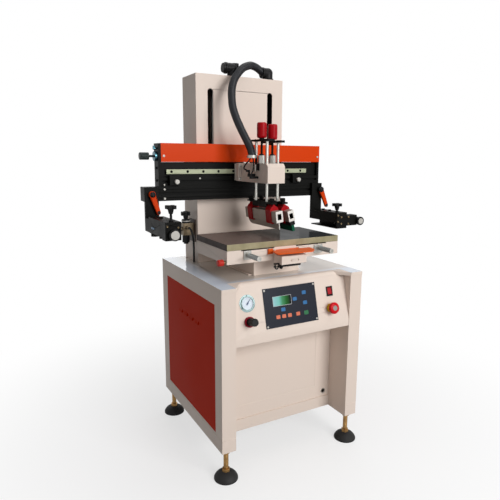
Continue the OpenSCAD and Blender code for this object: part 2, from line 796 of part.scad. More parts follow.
module frame_plates() {
  color(black) {
    box([-head_x, head_x], [92, 104], [beam_top, 1025]);
    box([-head_x - 10, -head_x], [head_y, 122], [beam_top, cover_z1 - 1]);
    box([head_x - 10, head_x], [head_y + sheet, 120], [beam_top, cover_z1 - sheet]);
    // grooved bar for the stroke stops
    difference() {
      box([-head_x, head_x], [80, 92], [beam_top, 972]);
      box([-head_x - 1, head_x + 1], [79, 84.2], [954, 962]);
      box([-head_x - 1, head_x + 1], [84, 89], [951, 965]);
    }
  }
}

module head_beam() {
  h = beam_top - beam_z;
  color(black) {
    difference() {
      translate([beam_x0, 0, 0]) rotate([90, 0, 90]) linear_extrude(height = beam_x1 - beam_x0)
        difference() {
          translate([head_y, beam_z]) square([45, h]);
          // front groove for the arm clamps
          translate([head_y - 1, beam_z + 20]) square([5, 9]);
          translate([head_y + 3.8, beam_z + 16.5]) square([5, 16]);
          // drip lines along the front
          translate([head_y - 0.1, beam_z + 10]) square([0.9, 1.2]);
          translate([head_y - 0.1, beam_z + 38]) square([0.9, 1.2]);
          translate([head_y + 14, beam_z + 4]) square([27, h - 8]);
        }
      // seats of the two flush screws
      for (z = [932, 900]) bar_y(head_y - 1, head_y + 6, -323, z, 3.8 + slip, 20);
    }
    for (x = [beam_x0 - 2, beam_x1]) translate([x, 0, 0])
      box([0, 2], [head_y + 9, head_y + 44.5], [beam_z + 0.5, beam_top - 0.5]);
  }
}

module top_cover() {
  color(orange) {
    box([-head_x, head_x], [head_y, head_y + sheet], [cover_z0, cover_z1]);
    box([-head_x, head_x], [head_y, 122], [cover_z1 - sheet, cover_z1]);
    box([-head_x, head_x], [120, 122], [cover_z1 - 27, cover_z1]);
  }
}

module guide_rail() {
  color([0.6, 0.62, 0.5]) difference() {
    box([-314, 272], [81.5, 92], [984, 1000]);
    for (i = [0:9]) {
      bar_y(81, 93, -296 + 60 * i, 992, 2.6, 16);
      bar_y(81, 86.5, -296 + 60 * i, 992, 4.6, 16);
    }
  }
}

module head_screws() {
  color(steel) {
    both() head_y_screw(323, head_y, 1046, 4, 1.8);
    // these lie flush, so the arms and stops pass over them
    for (z = [932, 900]) bar_y(head_y - 0.2, head_y + 6, -323, z, 3.8, 20);
    for (c = [[-190, 968], [-323, 948]]) bar_y(79.8, 86, c[0], c[1], 3, 20);
    for (z = [962, 1005]) translate([-head_x - 10, 100, z]) rotate([0, 0, -90])
      head_y_screw(0, 0, 0, 4.5, 3);
  }
}

module rear_brackets() {
  color(black) both() {
    // arm through the slot and its link to the bushing behind
    box([slot_x - 9, slot_x + 9], [104, shaft_y - 12], [962, 1024]);
    box([slot_x - 9, slot_x + 9], [123.5, shaft_y - 12], [1020, 1078]);
    box([shaft_x - 8, slot_x + 9], [shaft_y - 26, shaft_y - 12], [962, 1078]);
    difference() {
      bar_z(958, 1082, shaft_x, shaft_y, 22, 36);
      bar_z(957, 1083, shaft_x, shaft_y, shaft_d / 2 + run, 40);
    }
    box([0, shaft_x - 18.5], [shaft_y - 9, shaft_y + 9], [958, 990]);
  }
}

module lift_rod() {
  color(steel) {
    bar_z(700, 958, 0, shaft_y, 8, 32);
    bar_z(690, 712, 0, shaft_y, 20 - run, 40);
  }
}

module cylinder_tube() {
  color(alloy) difference() {
    union() {
      bar_x(-head_x, head_x - 10, cyl_y, stroke_z, 12, 36);
      for (x = [-head_x, head_x - 19])
        box([x, x + 9], [84, 116], [stroke_z - 16, stroke_z + 16]);
      bar_x(-head_x - 18.5, -head_x - 10, cyl_y, stroke_z, 16.5, 36);
      bar_x(-head_x - 22, -head_x - 10, cyl_y - 4, 1071, 4.5, 20);
      bar_z(1071, 1080, -head_x - 19, cyl_y - 4, 3.6, 20);
    }
    bar_x(-head_x + 10, head_x - 20, cyl_y, stroke_z, 10, 28);
    bar_x(-head_x - 19, -head_x - 11, cyl_y, stroke_z, 4 + run, 24);
  }
}

module speed_knob() {
  color(black) {
    bar_x(-371, -head_x - 11.5, cyl_y, stroke_z, 4, 24);
    translate([-371, cyl_y, stroke_z]) rotate([0, -90, 0]) fluted(12.5, 31, 14, 1.2);
  }
}

// Stroke stop with its foot in the groove, thumb screw hole at x
module stop(x, a, b) {
  difference() {
    union() {
      box([a, b], [63, 80 - slip], [946, 980]);
      box([a + 4, b - 4], [79, 84.5], [954 + slip, 962 - slip]);
      box([a + 4, b - 4], [84.5, 89 - slip], [951 + slip, 965 - slip]);
    }
    // bumper seats
    box([a - 1, b + 1], [62, 66], [972, 981]);
  }
}

module stop_block_left() {
  color(black) stop(-285, -309, -269);
}

module stop_block_right() {
  color(black) stop(221, 197, 237);
}

// Thumb screw with a smooth disc
module thumb(x) {
  bar_y(60, 86, x, 958, 3, 20);
  bar_y(54, 62.7, x, 958, 8.2, 28);
  bar_y(53, 54, x, 958, 7, 28);
}

module stop_screw_left() {
  color(steel) thumb(-285);
}

module stop_screw_right() {
  color(steel) thumb(221);
}

module mounting_plate() {
  color(cream) difference() {
    union() {
      box([-52, 55], [66, head_y], [959, 1020]);
      box([-44, 44], [head_y, 91.5], [976, 1009]);
    }
    box([-60, 60], [81.2, 93], [984 - slip, 1000 + slip]);
  }
}

module drive_sleeve() {
  color(alloy) difference() {
    union() {
      box([-30, 30], [82, 118], [1027, 1063]);
      box([-12, 12], [82, 91.5], [1009, 1030]);
    }
    bar_x(-31, 31, cyl_y, stroke_z, 12 + run, 36);
  }
}

module carriage_block() {
  color(steel) for (x = [-44, 47]) for (z = [966, 1013]) head_y_screw(x, 48, z, 3.6, 2);
  color(cream) difference() {
    union() {
      translate([-33, 0, 0]) rotate([90, 0, 90]) linear_extrude(height = 69)
        polygon([[66, 955], [66, 1022], [-118, 1022], [-128, 1012], [-128, 955]]);
      box([-52, 55], [48, 66], [957, 1022]);
    }
    // step along the left side and the pockets for the rear rods
    box([-34, -31.5], [-84, 49], [954, 1023]);
    box([-34, -9], [-52, -12], [994, 1023]);
    box([12, 37], [-52, -12], [994, 1023]);
    // lightened middle
    box([-24, 28], [-4, 42], [954, 1012]);
    for (x = [flood_x, squeegee_x]) {
      for (y = rod_y) bar_z(954, 1023, x, y, rod_d / 2 + run, 32);
      bar_z(960, 1023, x, unit_y, 7, 28);
    }
  }
}

module unit_cylinders() {
  color(alloy) for (x = [flood_x, squeegee_x]) difference() {
    union() {
      bar_z(1022, 1049, x, unit_y, 12.5, 36);
      bar_z(1049, 1054, x, unit_y, 8.5, 28);
    }
    bar_z(1021, 1044, x, unit_y, 9, 28);
    bar_z(1040, 1055, x, unit_y, 4 + run, 24);
  }
}

module clamp_ring() {
  color(steel) {
    difference() {
      bar_z(1040, 1050, -51, -50, hose_r + 3.4, 32);
      bar_z(1039, 1051, -51, -50, hose_r + 1, 32);
    }
    box([-36, -31.5], [-70, -53], [998, 1022]);
    box([-35, -31.8], [-56, -44], [1018, 1050]);
  }
}

module signal_tubes() {
  color(black) {
    swept([[-55, -50, 1042], [-62, -48, 1030], [-74, -44, 1016], [-76, -40, 1004],
      [-66, -37, 1000], [-60, -36, 996]], 2.6, 3, 8, [0.1, 1, 0]);
    swept([[-47, -51, 1042], [-46, -54, 1024], [-47, -56, 1006], [-52, -58, 994],
      [-58, -60, 986], [-60, -60, 976]], 2.6, 3, 8, [0.1, 1, 0]);
    bar_x(-64, -52, -36, 996, 4, 16);
    bar_x(-64, -31.5, -60, 974, 4, 16);
    bar_z(984, 994, -54, -36, 3.6, 14);
    box([-58, -31.5], [-42, -32], [976, 986]);
  }
}

// Two bright rods of a lift unit
module unit_rods(x, top) {
  for (y = rod_y) bar_z(893, top, x, y, rod_d / 2, 32);
}

// Top plate with the centre shaft
module unit_yoke(x, z0, z1) {
  difference() {
    union() {
      box([x - 11, x + 11], [unit_y - 63, unit_y + 61], [z0, z1]);
      bar_z(z1, z1 + 3.5, x, unit_y, 9, 28);
      bar_z(985, z0, x, unit_y, 4, 24);
    }
    bar_z(z0 + 2, z1 + 5, x, unit_y, 5 + run, 24);
  }
}

// Bar that hangs the holder, thick between the clamps
module unit_bar(x) {
  difference() {
    union() {
      box([x - 11, x + 11], [-152, 19], [tilt_z + 6.8, 893]);
      box([x - 11, x + 11], [-117, -20.3], [tilt_z - 5.6, 893]);
    }
    bar_y(-118, -104, x, tilt_z, 3.5 + run, 24);
    bar_y(-33.3, -19, x, tilt_z, 3.5 + run, 24);
  }
}

// Tall cap that sets the stroke
module unit_cap(x, z0) {
  translate([x, unit_y, 0]) {
    bar_z(z0 - 9, z0 + 2, 0, 0, 5, 24);
    translate([0, 0, z0]) rotate_extrude($fn = 44)
      polygon([[0, 0], [cap_d / 2 - 3, 0], [cap_d / 2 - 0.8, 3], [cap_d / 2, 8],
        [cap_d / 2, 47], [cap_d / 2 - 1.5, 51], [cap_d / 2 - 4, 52], [0, 52]]);
  }
}

// Pair of clamps that turn on the bar and grip the holder
module unit_clamps(x, tilt, w, h, a, b) {
  for (c = [[-150, -117.3, -106, -146], [-20, 10, 6, -32]])
    translate([x, 0, tilt_z]) rotate([0, -tilt, 0]) difference() {
      union() {
        bar_y(c[0], c[1], 0, 0, 6, 28);
        bar_y(c[3], c[2], 0, 0, 3.5, 24);
        translate([0, c[1], 0]) rotate([90, 0, 0]) linear_extrude(height = c[1] - c[0])
          polygon([[-7, 0], [7, 0], [12, -3], [15.6, -8], [17, -15], [17, -51], [15.8, -55.5],
            [12, -58], [-12, -58], [-15.8, -55.5], [-17, -51], [-17, -15], [-15.6, -8],
            [-12, -3]]);
      }
      box([-w / 2, w / 2], [c[0] - 1, c[1] + 1], [-14 - h, -14]);
      box([a, b], [c[0] - 1, c[1] + 1], [-60, -13 - h]);
    }
}

// Hollow holder with framed ends and an optional jaw below
module unit_holder(x, tilt, w, h, side, cap, jaw) {
  translate([x, holder_y1, tilt_z]) rotate([0, -tilt, 0]) rotate([90, 0, 0]) {
    difference() {
      linear_extrude(height = holder_l) translate([-w / 2, -14 - h]) square([w, h]);
      translate([0, 0, -1]) linear_extrude(height = holder_l + 2)
        translate([-w / 2 + side, cap - 14 - h]) square([w - 2 * side, h - 2 * cap]);
    }
    if (jaw) for (s = [-1, 1]) translate([s * 7 - 2, 0, 0]) linear_extrude(height = holder_l)
      translate([0, -14 - h - 14]) square([4, 14]);
  }
}

module flood_rods() {
  color(steel) unit_rods(flood_x, 1096.7);
}

module flood_yoke() {
  color(black) unit_yoke(flood_x, 1096.7, 1104);
}

module flood_bar() {
  color(black) unit_bar(flood_x);
}

module flood_cap() {
  color(red) unit_cap(flood_x, 1108);
}

module flood_clamps() {
  color(red) unit_clamps(flood_x, flood_tilt, 27, 38, -5.5, -2);
}

module flood_holder() {
  color(alloy) unit_holder(flood_x, flood_tilt, 27, 38, 6, 9, false);
}

module flood_blade() {
  // thin blade with a rounded rear corner
  color([0.82, 0.82, 0.82]) translate([flood_x, 0, tilt_z]) rotate([0, -flood_tilt, 0])
    translate([-5, 0, 0]) rotate([90, 0, 90]) linear_extrude(height = 2.5)
      polygon(concat([[holder_y0, -52], [holder_y0, -75]],
        [for (i = [0:7]) [holder_y1 - 32 + 30 * sin(i * 12.86), -53 - 22 * cos(i * 12.86)]],
        [[holder_y1 - 2, -52]]));
}

// Black hand knob on top of a bar
module bar_knob(x, y) {
  translate([x, y, 0]) {
    bar_z(892, 896, 0, 0, 6, 20);
    translate([0, 0, 894]) fluted(9, 12, 8, 1.4);
  }
}

module flood_knob_front() {
  color(black) bar_knob(flood_x, -136);
}

module flood_knob_rear() {
  color(black) bar_knob(flood_x, 8);
}

module squeegee_rods() {
  color(steel) unit_rods(squeegee_x, 1092);
}

module squeegee_yoke() {
  color(black) unit_yoke(squeegee_x, 1092, 1099.3);
}

module squeegee_bar() {
  color(black) unit_bar(squeegee_x);
}

module squeegee_cap() {
  color(red) unit_cap(squeegee_x, 1103.3);
}

module squeegee_clamps() {
  color(red) unit_clamps(squeegee_x, squeegee_tilt, 24, 37, -9, 9);
}

module squeegee_holder() {
  color(alloy) unit_holder(squeegee_x, squeegee_tilt, 24, 37, 4.8, 9.5, true);
}

module squeegee_blade() {
  color([0.05, 0.4, 0.28]) translate([squeegee_x, 0, tilt_z]) rotate([0, -squeegee_tilt, 0])
    translate([0, holder_y1, 0]) rotate([90, 0, 0]) linear_extrude(height = holder_l - 2)
      polygon([[-5, -51], [5, -51], [5, -86], [-5, -86]]);
}

module squeegee_knob_front() {
  color(black) bar_knob(squeegee_x, -136);
}

module squeegee_knob_rear() {
  color(black) bar_knob(squeegee_x, 8);
}

// Upright plate with its foot in the beam groove
module arm_plate(x0, x1, z0, hub) {
  difference() {
    union() {
      box([x0, x1], [66, head_y - slip], [z0, 942]);
      box([x0 + 4, x1 - 4], [78, 83], [beam_z + 20 + slip, beam_z + 29 - slip]);
      box([x0 + 4, x1 - 4], [82.4 + slip, 87.4 - slip], [beam_z + 16.5 + slip, beam_z + 32.5 - slip]);
    }
    bar_y(65, 88, hub, 917, 4 + run, 24);
  }
}

module arm_right() {
  color(black) {
    arm_plate(293, 341, 800, 330);
    // channel that grips the screen frame
    difference() {
      union() {
        box([293, 341], [-98, 66], [777, 781]);
        box([293, 341], [-98, -94], [777, 838]);
        box([335, 341], [-98, 66], [777, 838]);
        box([293, 341], [-98, 66], [800, 838]);
        // adjuster housing
        box([341, 391], [-98, -60], [786, 826]);
        bar_y(-98, -60, 402, 802, 15, 32);
      }
      bar_z(796, 839, 314, -70, 4 + run, 24);
      bar_y(-99, -70, 402, 802, 4 + run, 24);
    }
    bar_z(838, 843, 318, 20, 6, 20);
    bar_z(838, 843, 318, -20, 6, 20);
    // screws in the front
    for (c = [[299, 827], [299, 803], [316, 820], [316, 795], [350, 819], [350, 793]])
      head_y_screw(c[0], -98, c[1], 2.8, 1.2);
  }
}

module arm_left() {
  color(black) {
    arm_plate(-397, -349, 793, -375);
    box([-401, -397], [60, head_y - slip], [893, 942]);
    difference() {
      union() {
        box([-397, -345], [-132, 66], [793, 797]);
        box([-397, -391], [-132, 66], [793, 838]);
        box([-397, -345], [-132, 66], [812, 838]);
        box([-397, -345], [-132, -99], [787, 845]);
        box([-397, -345], [-132, 36], [836, 845]);
        // round housing of the adjuster
        bar_y(-138, -100, -371, 806, 18, 32);
      }
      bar_z(796, 859, -371, -112, 4 + run, 24);
      bar_y(-139, -118, -371, 806, 4 + run, 24);
    }
    bar_z(845, 850, -371, -20, 6, 20);
    bar_z(845, 850, -371, 20, 6, 20);
    for (c = [[-355, 827], [-390, 832]]) head_y_screw(c[0], -132, c[1], 2.8, 1.2);
    // lower hand screws of the height setting
    bar_z(782, 793, -384, 12, 13, 28);
    bar_z(785, 793, -384, -60, 9, 28);
    for (y = [-2, -18]) bar_x(-400, -397, y, 812, 3.4, 20);
  }
}

// Clamping lever on its stud, handle hanging to (dx, dz)
module clamp_lever(x, dx, dz) {
  translate([x, 66 - slip, 917]) rotate([90, 0, 0]) {
    translate([0, 0, -12]) cylinder(h = 14, r = 4, $fn = 24);
    cylinder(h = 15, r = 11, $fn = 32);
    translate([0, 0, 15]) cylinder(h = 3, r1 = 8.5, r2 = 7, $fn = 28);
    hull() {
      translate([0, 0, 4]) cylinder(h = 10, r = 9.5, $fn = 28);
      translate([dx, dz, 6]) cylinder(h = 9, r = 6.8, $fn = 24);
    }
  }
}

module lever_left() {
  color(orange) clamp_lever(-375, 20, -62);
}

module lever_right() {
  color(orange) clamp_lever(330, 28, -66);
}

// Star-headed hand screw with a pressure pad in the slot
module clamp_screw(x, y, z, grip) {
  translate([x, y, 0]) {
    bar_z(796.5, grip, 0, 0, 4, 24);
    bar_z(792, 797, 0, 0, 9, 28);
    translate([0, 0, grip - 1]) star(19, 11);
    bar_z(z + slip, z + 4, 0, 0, 7.5, 24);
  }
}

module clamp_screw_right() {
  color(black) clamp_screw(314, -70, 838, 861);
}

module clamp_screw_left() {
  color(black) translate([-371, -112, 0]) {
    bar_z(830, 886, 0, 0, 4, 24);
    translate([0, 0, 884]) star(19, 11);
    bar_z(845 + slip, 849, 0, 0, 7.5, 24);
  }
}

// Fine adjusting knob facing the front
module fine_knob(x, y, z, rim, disc) {
  translate([x, y, z]) rotate([90, 0, 0]) {
    translate([0, 0, -18]) cylinder(h = 20, r = 4, $fn = 24);
    difference() {
      translate([0, 0, slip]) cylinder(h = 10, r = rim, $fn = 40);
      translate([0, 0, 8]) cylinder(h = 4, r = disc, $fn = 36);
    }
    translate([0, 0, 7.9]) cylinder(h = 3.6, r = disc - 0.6, $fn = 36);
  }
}

module fine_knob_right() {
  color(steel) fine_knob(402, -98, 802, 16.4, 12);
}

module fine_knob_left() {
  color(steel) fine_knob(-371, -138, 806, 18, 14.8);
}

module levelling_feet() {
  foot_pads();
  foot_studs();
}

module side_panels() {
  side_panel_left();
  side_panel_right();
}

module rear_covers() {
  rear_panel();
  power_inlet();
  tower_rear_cover();
}

module lift_guides() {
  guide_shafts();
  shaft_blocks();
  lift_cylinder();
}

module control_plate() {
  overlay_base();
  display_window();
  keys_blue();
  keys_orange();
  key_green();
}

module panel_bezels() {
  regulator_ring();
  rocker_bezel();
  estop_collar();
}

module table_bracket() {
  bracket_block();
  bracket_hook();
  lever_catch();
  adjuster_bases();
}

module head_frame() {
  frame_plates();
  head_screws();
}

module lift_bracket() {
  rear_brackets();
  lift_rod();
}

module stroke_cylinder() {
  cylinder_tube();
}

module stop_left() {
  stop_block_left();
  stop_screw_left();
}

module stop_right() {
  stop_block_right();
  stop_screw_right();
}

module carriage_plate() {
  mounting_plate();
  drive_sleeve();
}

module hose_clamp() {
  clamp_ring();
  signal_tubes();
}

module flood_frame() {
  flood_rods();
  flood_yoke();
  flood_bar();
  flood_knob_front();
  flood_knob_rear();
}

module squeegee_frame() {
  squeegee_rods();
  squeegee_yoke();
  squeegee_bar();
  squeegee_knob_front();
  squeegee_knob_rear();
}

cabinet_frame();
cabinet_top();
console_panel();
recess_panel();
side_panels();
rear_covers();
levelling_feet();
tower_shell();
lift_guides();
conduit_elbows();
conduit_hose();
air_unit();
air_unit_knob();
air_hose();
pressure_gauge();
gauge_needle();
regulator_knob();
control_plate();
panel_bezels();
power_rocker();
estop_button();
table_pedestal();
table_box();
table_bracket();
side_knob();
table_plate();
adjuster_left();
adjuster_right();
table_lever();
head_frame();
head_beam();
top_cover();
guide_rail();
lift_bracket();
stroke_cylinder();
speed_knob();
stop_left();
stop_right();
carriage_plate();
carriage_block();
unit_cylinders();
hose_clamp();
flood_frame();
flood_cap();
flood_clamps();
flood_holder();
flood_blade();
squeegee_frame();
squeegee_cap();
squeegee_clamps();
squeegee_holder();
squeegee_blade();
arm_left();
arm_right();
lever_left();
lever_right();
clamp_screw_left();
clamp_screw_right();
fine_knob_left();
fine_knob_right();
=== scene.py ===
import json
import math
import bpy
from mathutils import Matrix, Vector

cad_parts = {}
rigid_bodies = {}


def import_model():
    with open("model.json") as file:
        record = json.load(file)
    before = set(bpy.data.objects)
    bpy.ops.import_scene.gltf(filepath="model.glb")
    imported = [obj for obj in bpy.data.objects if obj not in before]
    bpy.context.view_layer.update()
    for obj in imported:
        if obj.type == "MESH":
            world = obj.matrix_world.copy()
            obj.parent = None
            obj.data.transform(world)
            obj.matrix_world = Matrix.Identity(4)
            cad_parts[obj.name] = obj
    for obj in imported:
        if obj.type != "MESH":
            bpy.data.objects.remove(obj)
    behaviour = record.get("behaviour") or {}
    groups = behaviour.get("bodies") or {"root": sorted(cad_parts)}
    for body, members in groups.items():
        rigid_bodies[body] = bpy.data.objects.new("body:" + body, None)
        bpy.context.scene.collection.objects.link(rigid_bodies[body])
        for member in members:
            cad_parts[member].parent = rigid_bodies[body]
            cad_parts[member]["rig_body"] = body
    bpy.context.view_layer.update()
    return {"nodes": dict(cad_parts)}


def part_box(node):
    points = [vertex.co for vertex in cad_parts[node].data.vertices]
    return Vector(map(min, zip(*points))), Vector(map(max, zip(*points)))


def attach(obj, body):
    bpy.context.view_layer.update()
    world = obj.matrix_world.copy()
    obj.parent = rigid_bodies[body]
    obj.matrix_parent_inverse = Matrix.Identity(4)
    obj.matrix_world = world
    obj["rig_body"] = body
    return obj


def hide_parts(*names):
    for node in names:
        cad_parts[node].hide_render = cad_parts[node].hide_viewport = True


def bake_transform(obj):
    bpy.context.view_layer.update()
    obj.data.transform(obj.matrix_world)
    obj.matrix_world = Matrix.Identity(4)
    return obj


bl_info = {
    "name": "Flatbed Screen Printer",
    "version": (1, 0, 0),
    "blender": (4, 5, 0),
    "location": "3D View > Sidebar > Screen Printer",
    "description": "Finishes a flatbed screen printer around its packed frame",
    "category": "Object",
}

import bmesh
import bpy
from mathutils import Matrix, Vector

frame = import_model()
NODES = frame["nodes"]

# Places and sizes in metres, read from the frame where it has them

TOWER_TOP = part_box("tower_shell")[1].z
TABLE_LOW, TABLE_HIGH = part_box("table_plate")
TABLE_FRONT = TABLE_LOW.y
TABLE_TOP = TABLE_HIGH.z
WORKTOP_Z = 0.6495
LOCK = Vector((0.2, -0.1676, 0.168))
LOCK_RADIUS = 0.0125
PAD_TOP_Z = 0.0272
ADJUSTER_Z = 0.7335
LEVER_HUB_Z = 0.917
HOSE_END = Vector((-0.051, -0.050, 1.044))

# Rounding of pieces that take their own width
THIN_EDGE = 0.0002
SMALL_EDGE = 0.0003
PLATE_EDGE = 0.0008

# Tools: place across and tilt, the height of both tilt axes, and the ends of the squeegee's black jaw
# along the tool, measured from its tilt axis
FLOOD = (-0.020, math.radians(7))
SQUEEGEE = (0.023, math.radians(14))
TILT_AXIS_Z = 0.880
JAW_TOP = -0.0512
JAW_LIP = -0.0651

# Console slope, which leans back from upright; spots on it are (across, up the slope)
LEAN = math.radians(14.26)
SLOPE_FOOT = Vector((0.0, -0.2687, 0.482))
SLOPE_UP = Vector((0, math.sin(LEAN), math.cos(LEAN)))
SLOPE_OUT = Vector((0, -math.cos(LEAN), math.sin(LEAN)))
SLOPE_TURN = (math.pi / 2 - LEAN, 0.0, 0.0)
GAUGE_SPOT = (-0.172, 0.1085)
STOP_SPOT = (0.15, 0.0485)
DISPLAY_SPOT = (-0.043, 0.1005)


# Small helpers


def srgb(r, g, b):
    """Linear colour for an 8-bit display colour."""

    def linear(c):
        c /= 255
        return c / 12.92 if c <= 0.04045 else ((c + 0.055) / 1.055) ** 2.4

    return (linear(r), linear(g), linear(b), 1.0)


def darker(colour, share):
    """A linear colour times a share."""
    return tuple(c * share for c in colour[:3]) + (1.0,)


def deselect():
    """Leaves edit mode and selects nothing."""
    if bpy.context.object and bpy.context.object.mode != "OBJECT":
        bpy.ops.object.mode_set(mode="OBJECT")
    bpy.ops.object.select_all(action="DESELECT")


def only(obj):
    """Makes a piece the one that is selected and active."""
    deselect()
    obj.select_set(True)
    bpy.context.view_layer.objects.active = obj


def settle(obj):
    """Puts a piece's place into its mesh, so its object sits at the origin."""
    only(obj)
    bpy.ops.object.transform_apply(location=True, rotation=True, scale=True)
    return obj


def smooth(obj, angle=32):
    """Smooth shading over edges that turn by less than an angle in degrees."""
    only(obj)
    bpy.ops.object.shade_smooth_by_angle(angle=math.radians(angle))


def bevelled(obj, width, segments=2):
    """Rounds every edge that turns by more than 30 degrees."""
    only(obj)
    mod = obj.modifiers.new("Rounded edges", "BEVEL")
    mod.width = width
    mod.segments = segments
    mod.limit_method = "ANGLE"
    mod.angle_limit = math.radians(30)
    mod.use_clamp_overlap = False
    mod.miter_outer = "MITER_ARC"
    bpy.ops.object.modifier_apply(modifier=mod.name)


def flat_faces(obj):
    """Smooth shading that keeps the large faces flat beside their rounded edges."""
    smooth(obj)
    mod = obj.modifiers.new("Face normals", "WEIGHTED_NORMAL")
    mod.keep_sharp = True
    mod.weight = 100
    bpy.ops.object.modifier_apply(modifier=mod.name)


def on_slope(x, s):
    """Point on the console slope: x across and s up the slope."""
    return SLOPE_FOOT + Vector((x, 0, 0)) + s * SLOPE_UP


def from_spot(c, spot):
    """A point's height over the slope and its distance from a spot's axis."""
    d = c - spot
    out = d.dot(SLOPE_OUT)
    return out, (d - out * SLOPE_OUT).length


def tool_place(c, x, tilt):
    """A point's place across and along a tilted tool, measured from its tilt axis."""
    dx, dz = c.x - x, c.z - TILT_AXIS_Z
    return dx * math.cos(tilt) + dz * math.sin(tilt), dz * math.cos(tilt) - dx * math.sin(tilt)


def tool_cut(x, tilt, w):
    """Point and normal of a plane across a tilted tool, w along it from its tilt axis."""
    up = Vector((-math.sin(tilt), 0, math.cos(tilt)))
    return Vector((x, 0, TILT_AXIS_Z)) + w * up, up


def channel(tool, side, low, high):
    """Test for faces in a tool's channel, which runs from low to high along the tool. These faces are
    painted black as painted shade in the deep slot.
    """

    def test(c, n):
        across, along = tool_place(c, *tool)
        return abs(across) < side and low < along < high

    return test


def block(name, low, high):
    """A box between two corners."""
    deselect()
    low, high = Vector(low), Vector(high)
    bpy.ops.mesh.primitive_cube_add(size=1, location=(low + high) / 2)
    obj = bpy.context.object
    obj.name = name
    obj.scale = high - low
    return settle(obj)


def merged(name, objs):
    """Joins several pieces into one."""
    deselect()
    for o in objs:
        o.select_set(True)
    bpy.context.view_layer.objects.active = objs[0]
    bpy.ops.object.join()
    obj = bpy.context.object
    obj.name = name
    return obj


# Materials


def texture_group():
    """Shared finish: two tones mixed by a broad noise, a rougher patch and a fine relief."""
    name = "Worked surface"
    if name in bpy.data.node_groups:
        return bpy.data.node_groups[name]
    g = bpy.data.node_groups.new(name, "ShaderNodeTree")
    for label, kind, default in (
        ("Tone", "NodeSocketColor", (0.5, 0.5, 0.5, 1)),
        ("Second tone", "NodeSocketColor", (0.5, 0.5, 0.5, 1)),
        ("Patch scale", "NodeSocketFloat", 6.0),
        ("Grain scale", "NodeSocketFloat", 900.0),
        ("Roughness low", "NodeSocketFloat", 0.35),
        ("Roughness high", "NodeSocketFloat", 0.45),
        ("Relief", "NodeSocketFloat", 0.05),
        ("Stretch", "NodeSocketVector", (1, 1, 1)),
    ):
        s = g.interface.new_socket(label, in_out="INPUT", socket_type=kind)
        s.default_value = default
    for label, kind in (
        ("Color", "NodeSocketColor"),
        ("Roughness", "NodeSocketFloat"),
        ("Normal", "NodeSocketVector"),
    ):
        g.interface.new_socket(label, in_out="OUTPUT", socket_type=kind)
    n = g.nodes
    gin = n.new("NodeGroupInput")
    gout = n.new("NodeGroupOutput")
    coord = n.new("ShaderNodeTexCoord")
    stretch = n.new("ShaderNodeVectorMath")
    stretch.operation = "MULTIPLY"
    patch = n.new("ShaderNodeTexNoise")
    patch.inputs["Detail"].default_value = 4
    grain = n.new("ShaderNodeTexNoise")
    grain.inputs["Detail"].default_value = 2
    mix = n.new("ShaderNodeMix")
    mix.data_type = "RGBA"
    spread = n.new("ShaderNodeMapRange")
    spread.inputs["From Min"].default_value = 0.35
    spread.inputs["From Max"].default_value = 0.65
    bump = n.new("ShaderNodeBump")
    bump.inputs["Distance"].default_value = 0.0004
    link = g.links.new
    link(coord.outputs["Object"], stretch.inputs[0])
    link(gin.outputs["Stretch"], stretch.inputs[1])
    link(stretch.outputs[0], patch.inputs["Vector"])
    link(stretch.outputs[0], grain.inputs["Vector"])
    link(gin.outputs["Patch scale"], patch.inputs["Scale"])
    link(gin.outputs["Grain scale"], grain.inputs["Scale"])
    link(patch.outputs["Fac"], spread.inputs["Value"])
    link(gin.outputs["Roughness low"], spread.inputs["To Min"])
    link(gin.outputs["Roughness high"], spread.inputs["To Max"])
    link(patch.outputs["Fac"], mix.inputs["Factor"])
    link(gin.outputs["Tone"], mix.inputs["A"])
    link(gin.outputs["Second tone"], mix.inputs["B"])
    link(grain.outputs["Fac"], bump.inputs["Height"])
    link(gin.outputs["Relief"], bump.inputs["Strength"])
    link(mix.outputs["Result"], gout.inputs["Color"])
    link(spread.outputs["Result"], gout.inputs["Roughness"])
    link(bump.outputs["Normal"], gout.inputs["Normal"])
    return g


def finish_material(
    name,
    tone,
    second=None,
    patch=6.0,
    grain=900.0,
    rough=(0.35, 0.45),
    relief=0.05,
    stretch=(1, 1, 1),
    metallic=0.0,
    coat=0.0,
    coat_rough=0.1,
    shine=0.25,
):
    """A material with the shared finish. tone and second are 8-bit triples or linear colours."""
    if name in bpy.data.materials:
        return bpy.data.materials[name]
    tone, second = (srgb(*c) if c and len(c) == 3 else c for c in (tone, second))
    m = bpy.data.materials.new(name)
    m.use_nodes = True
    t = m.node_tree
    shader = t.nodes["Principled BSDF"]
    shader.inputs["Metallic"].default_value = metallic
    shader.inputs["Specular IOR Level"].default_value = shine
    shader.inputs["Coat Weight"].default_value = coat
    shader.inputs["Coat Roughness"].default_value = coat_rough
    surface = t.nodes.new("ShaderNodeGroup")
    surface.node_tree = texture_group()
    for label, value in (
        ("Tone", tone),
        ("Second tone", second or darker(tone, 0.9)),
        ("Patch scale", patch),
        ("Grain scale", grain),
        ("Roughness low", rough[0]),
        ("Roughness high", rough[1]),
        ("Relief", relief),
        ("Stretch", stretch),
    ):
        surface.inputs[label].default_value = value
    t.links.new(surface.outputs["Color"], shader.inputs["Base Color"])
    t.links.new(surface.outputs["Roughness"], shader.inputs["Roughness"])
    t.links.new(surface.outputs["Normal"], shader.inputs["Normal"])
    return m


def math_node(t, op, a, b=None):
    """Result of an operation on one or two values, each a number or a socket."""
    node = t.nodes.new("ShaderNodeMath")
    node.operation = op
    for i, v in enumerate((a, b)):
        if v is None:
            continue
        if isinstance(v, (int, float)):
            node.inputs[i].default_value = v
        else:
            t.links.new(v, node.inputs[i])
    return node.outputs[0]


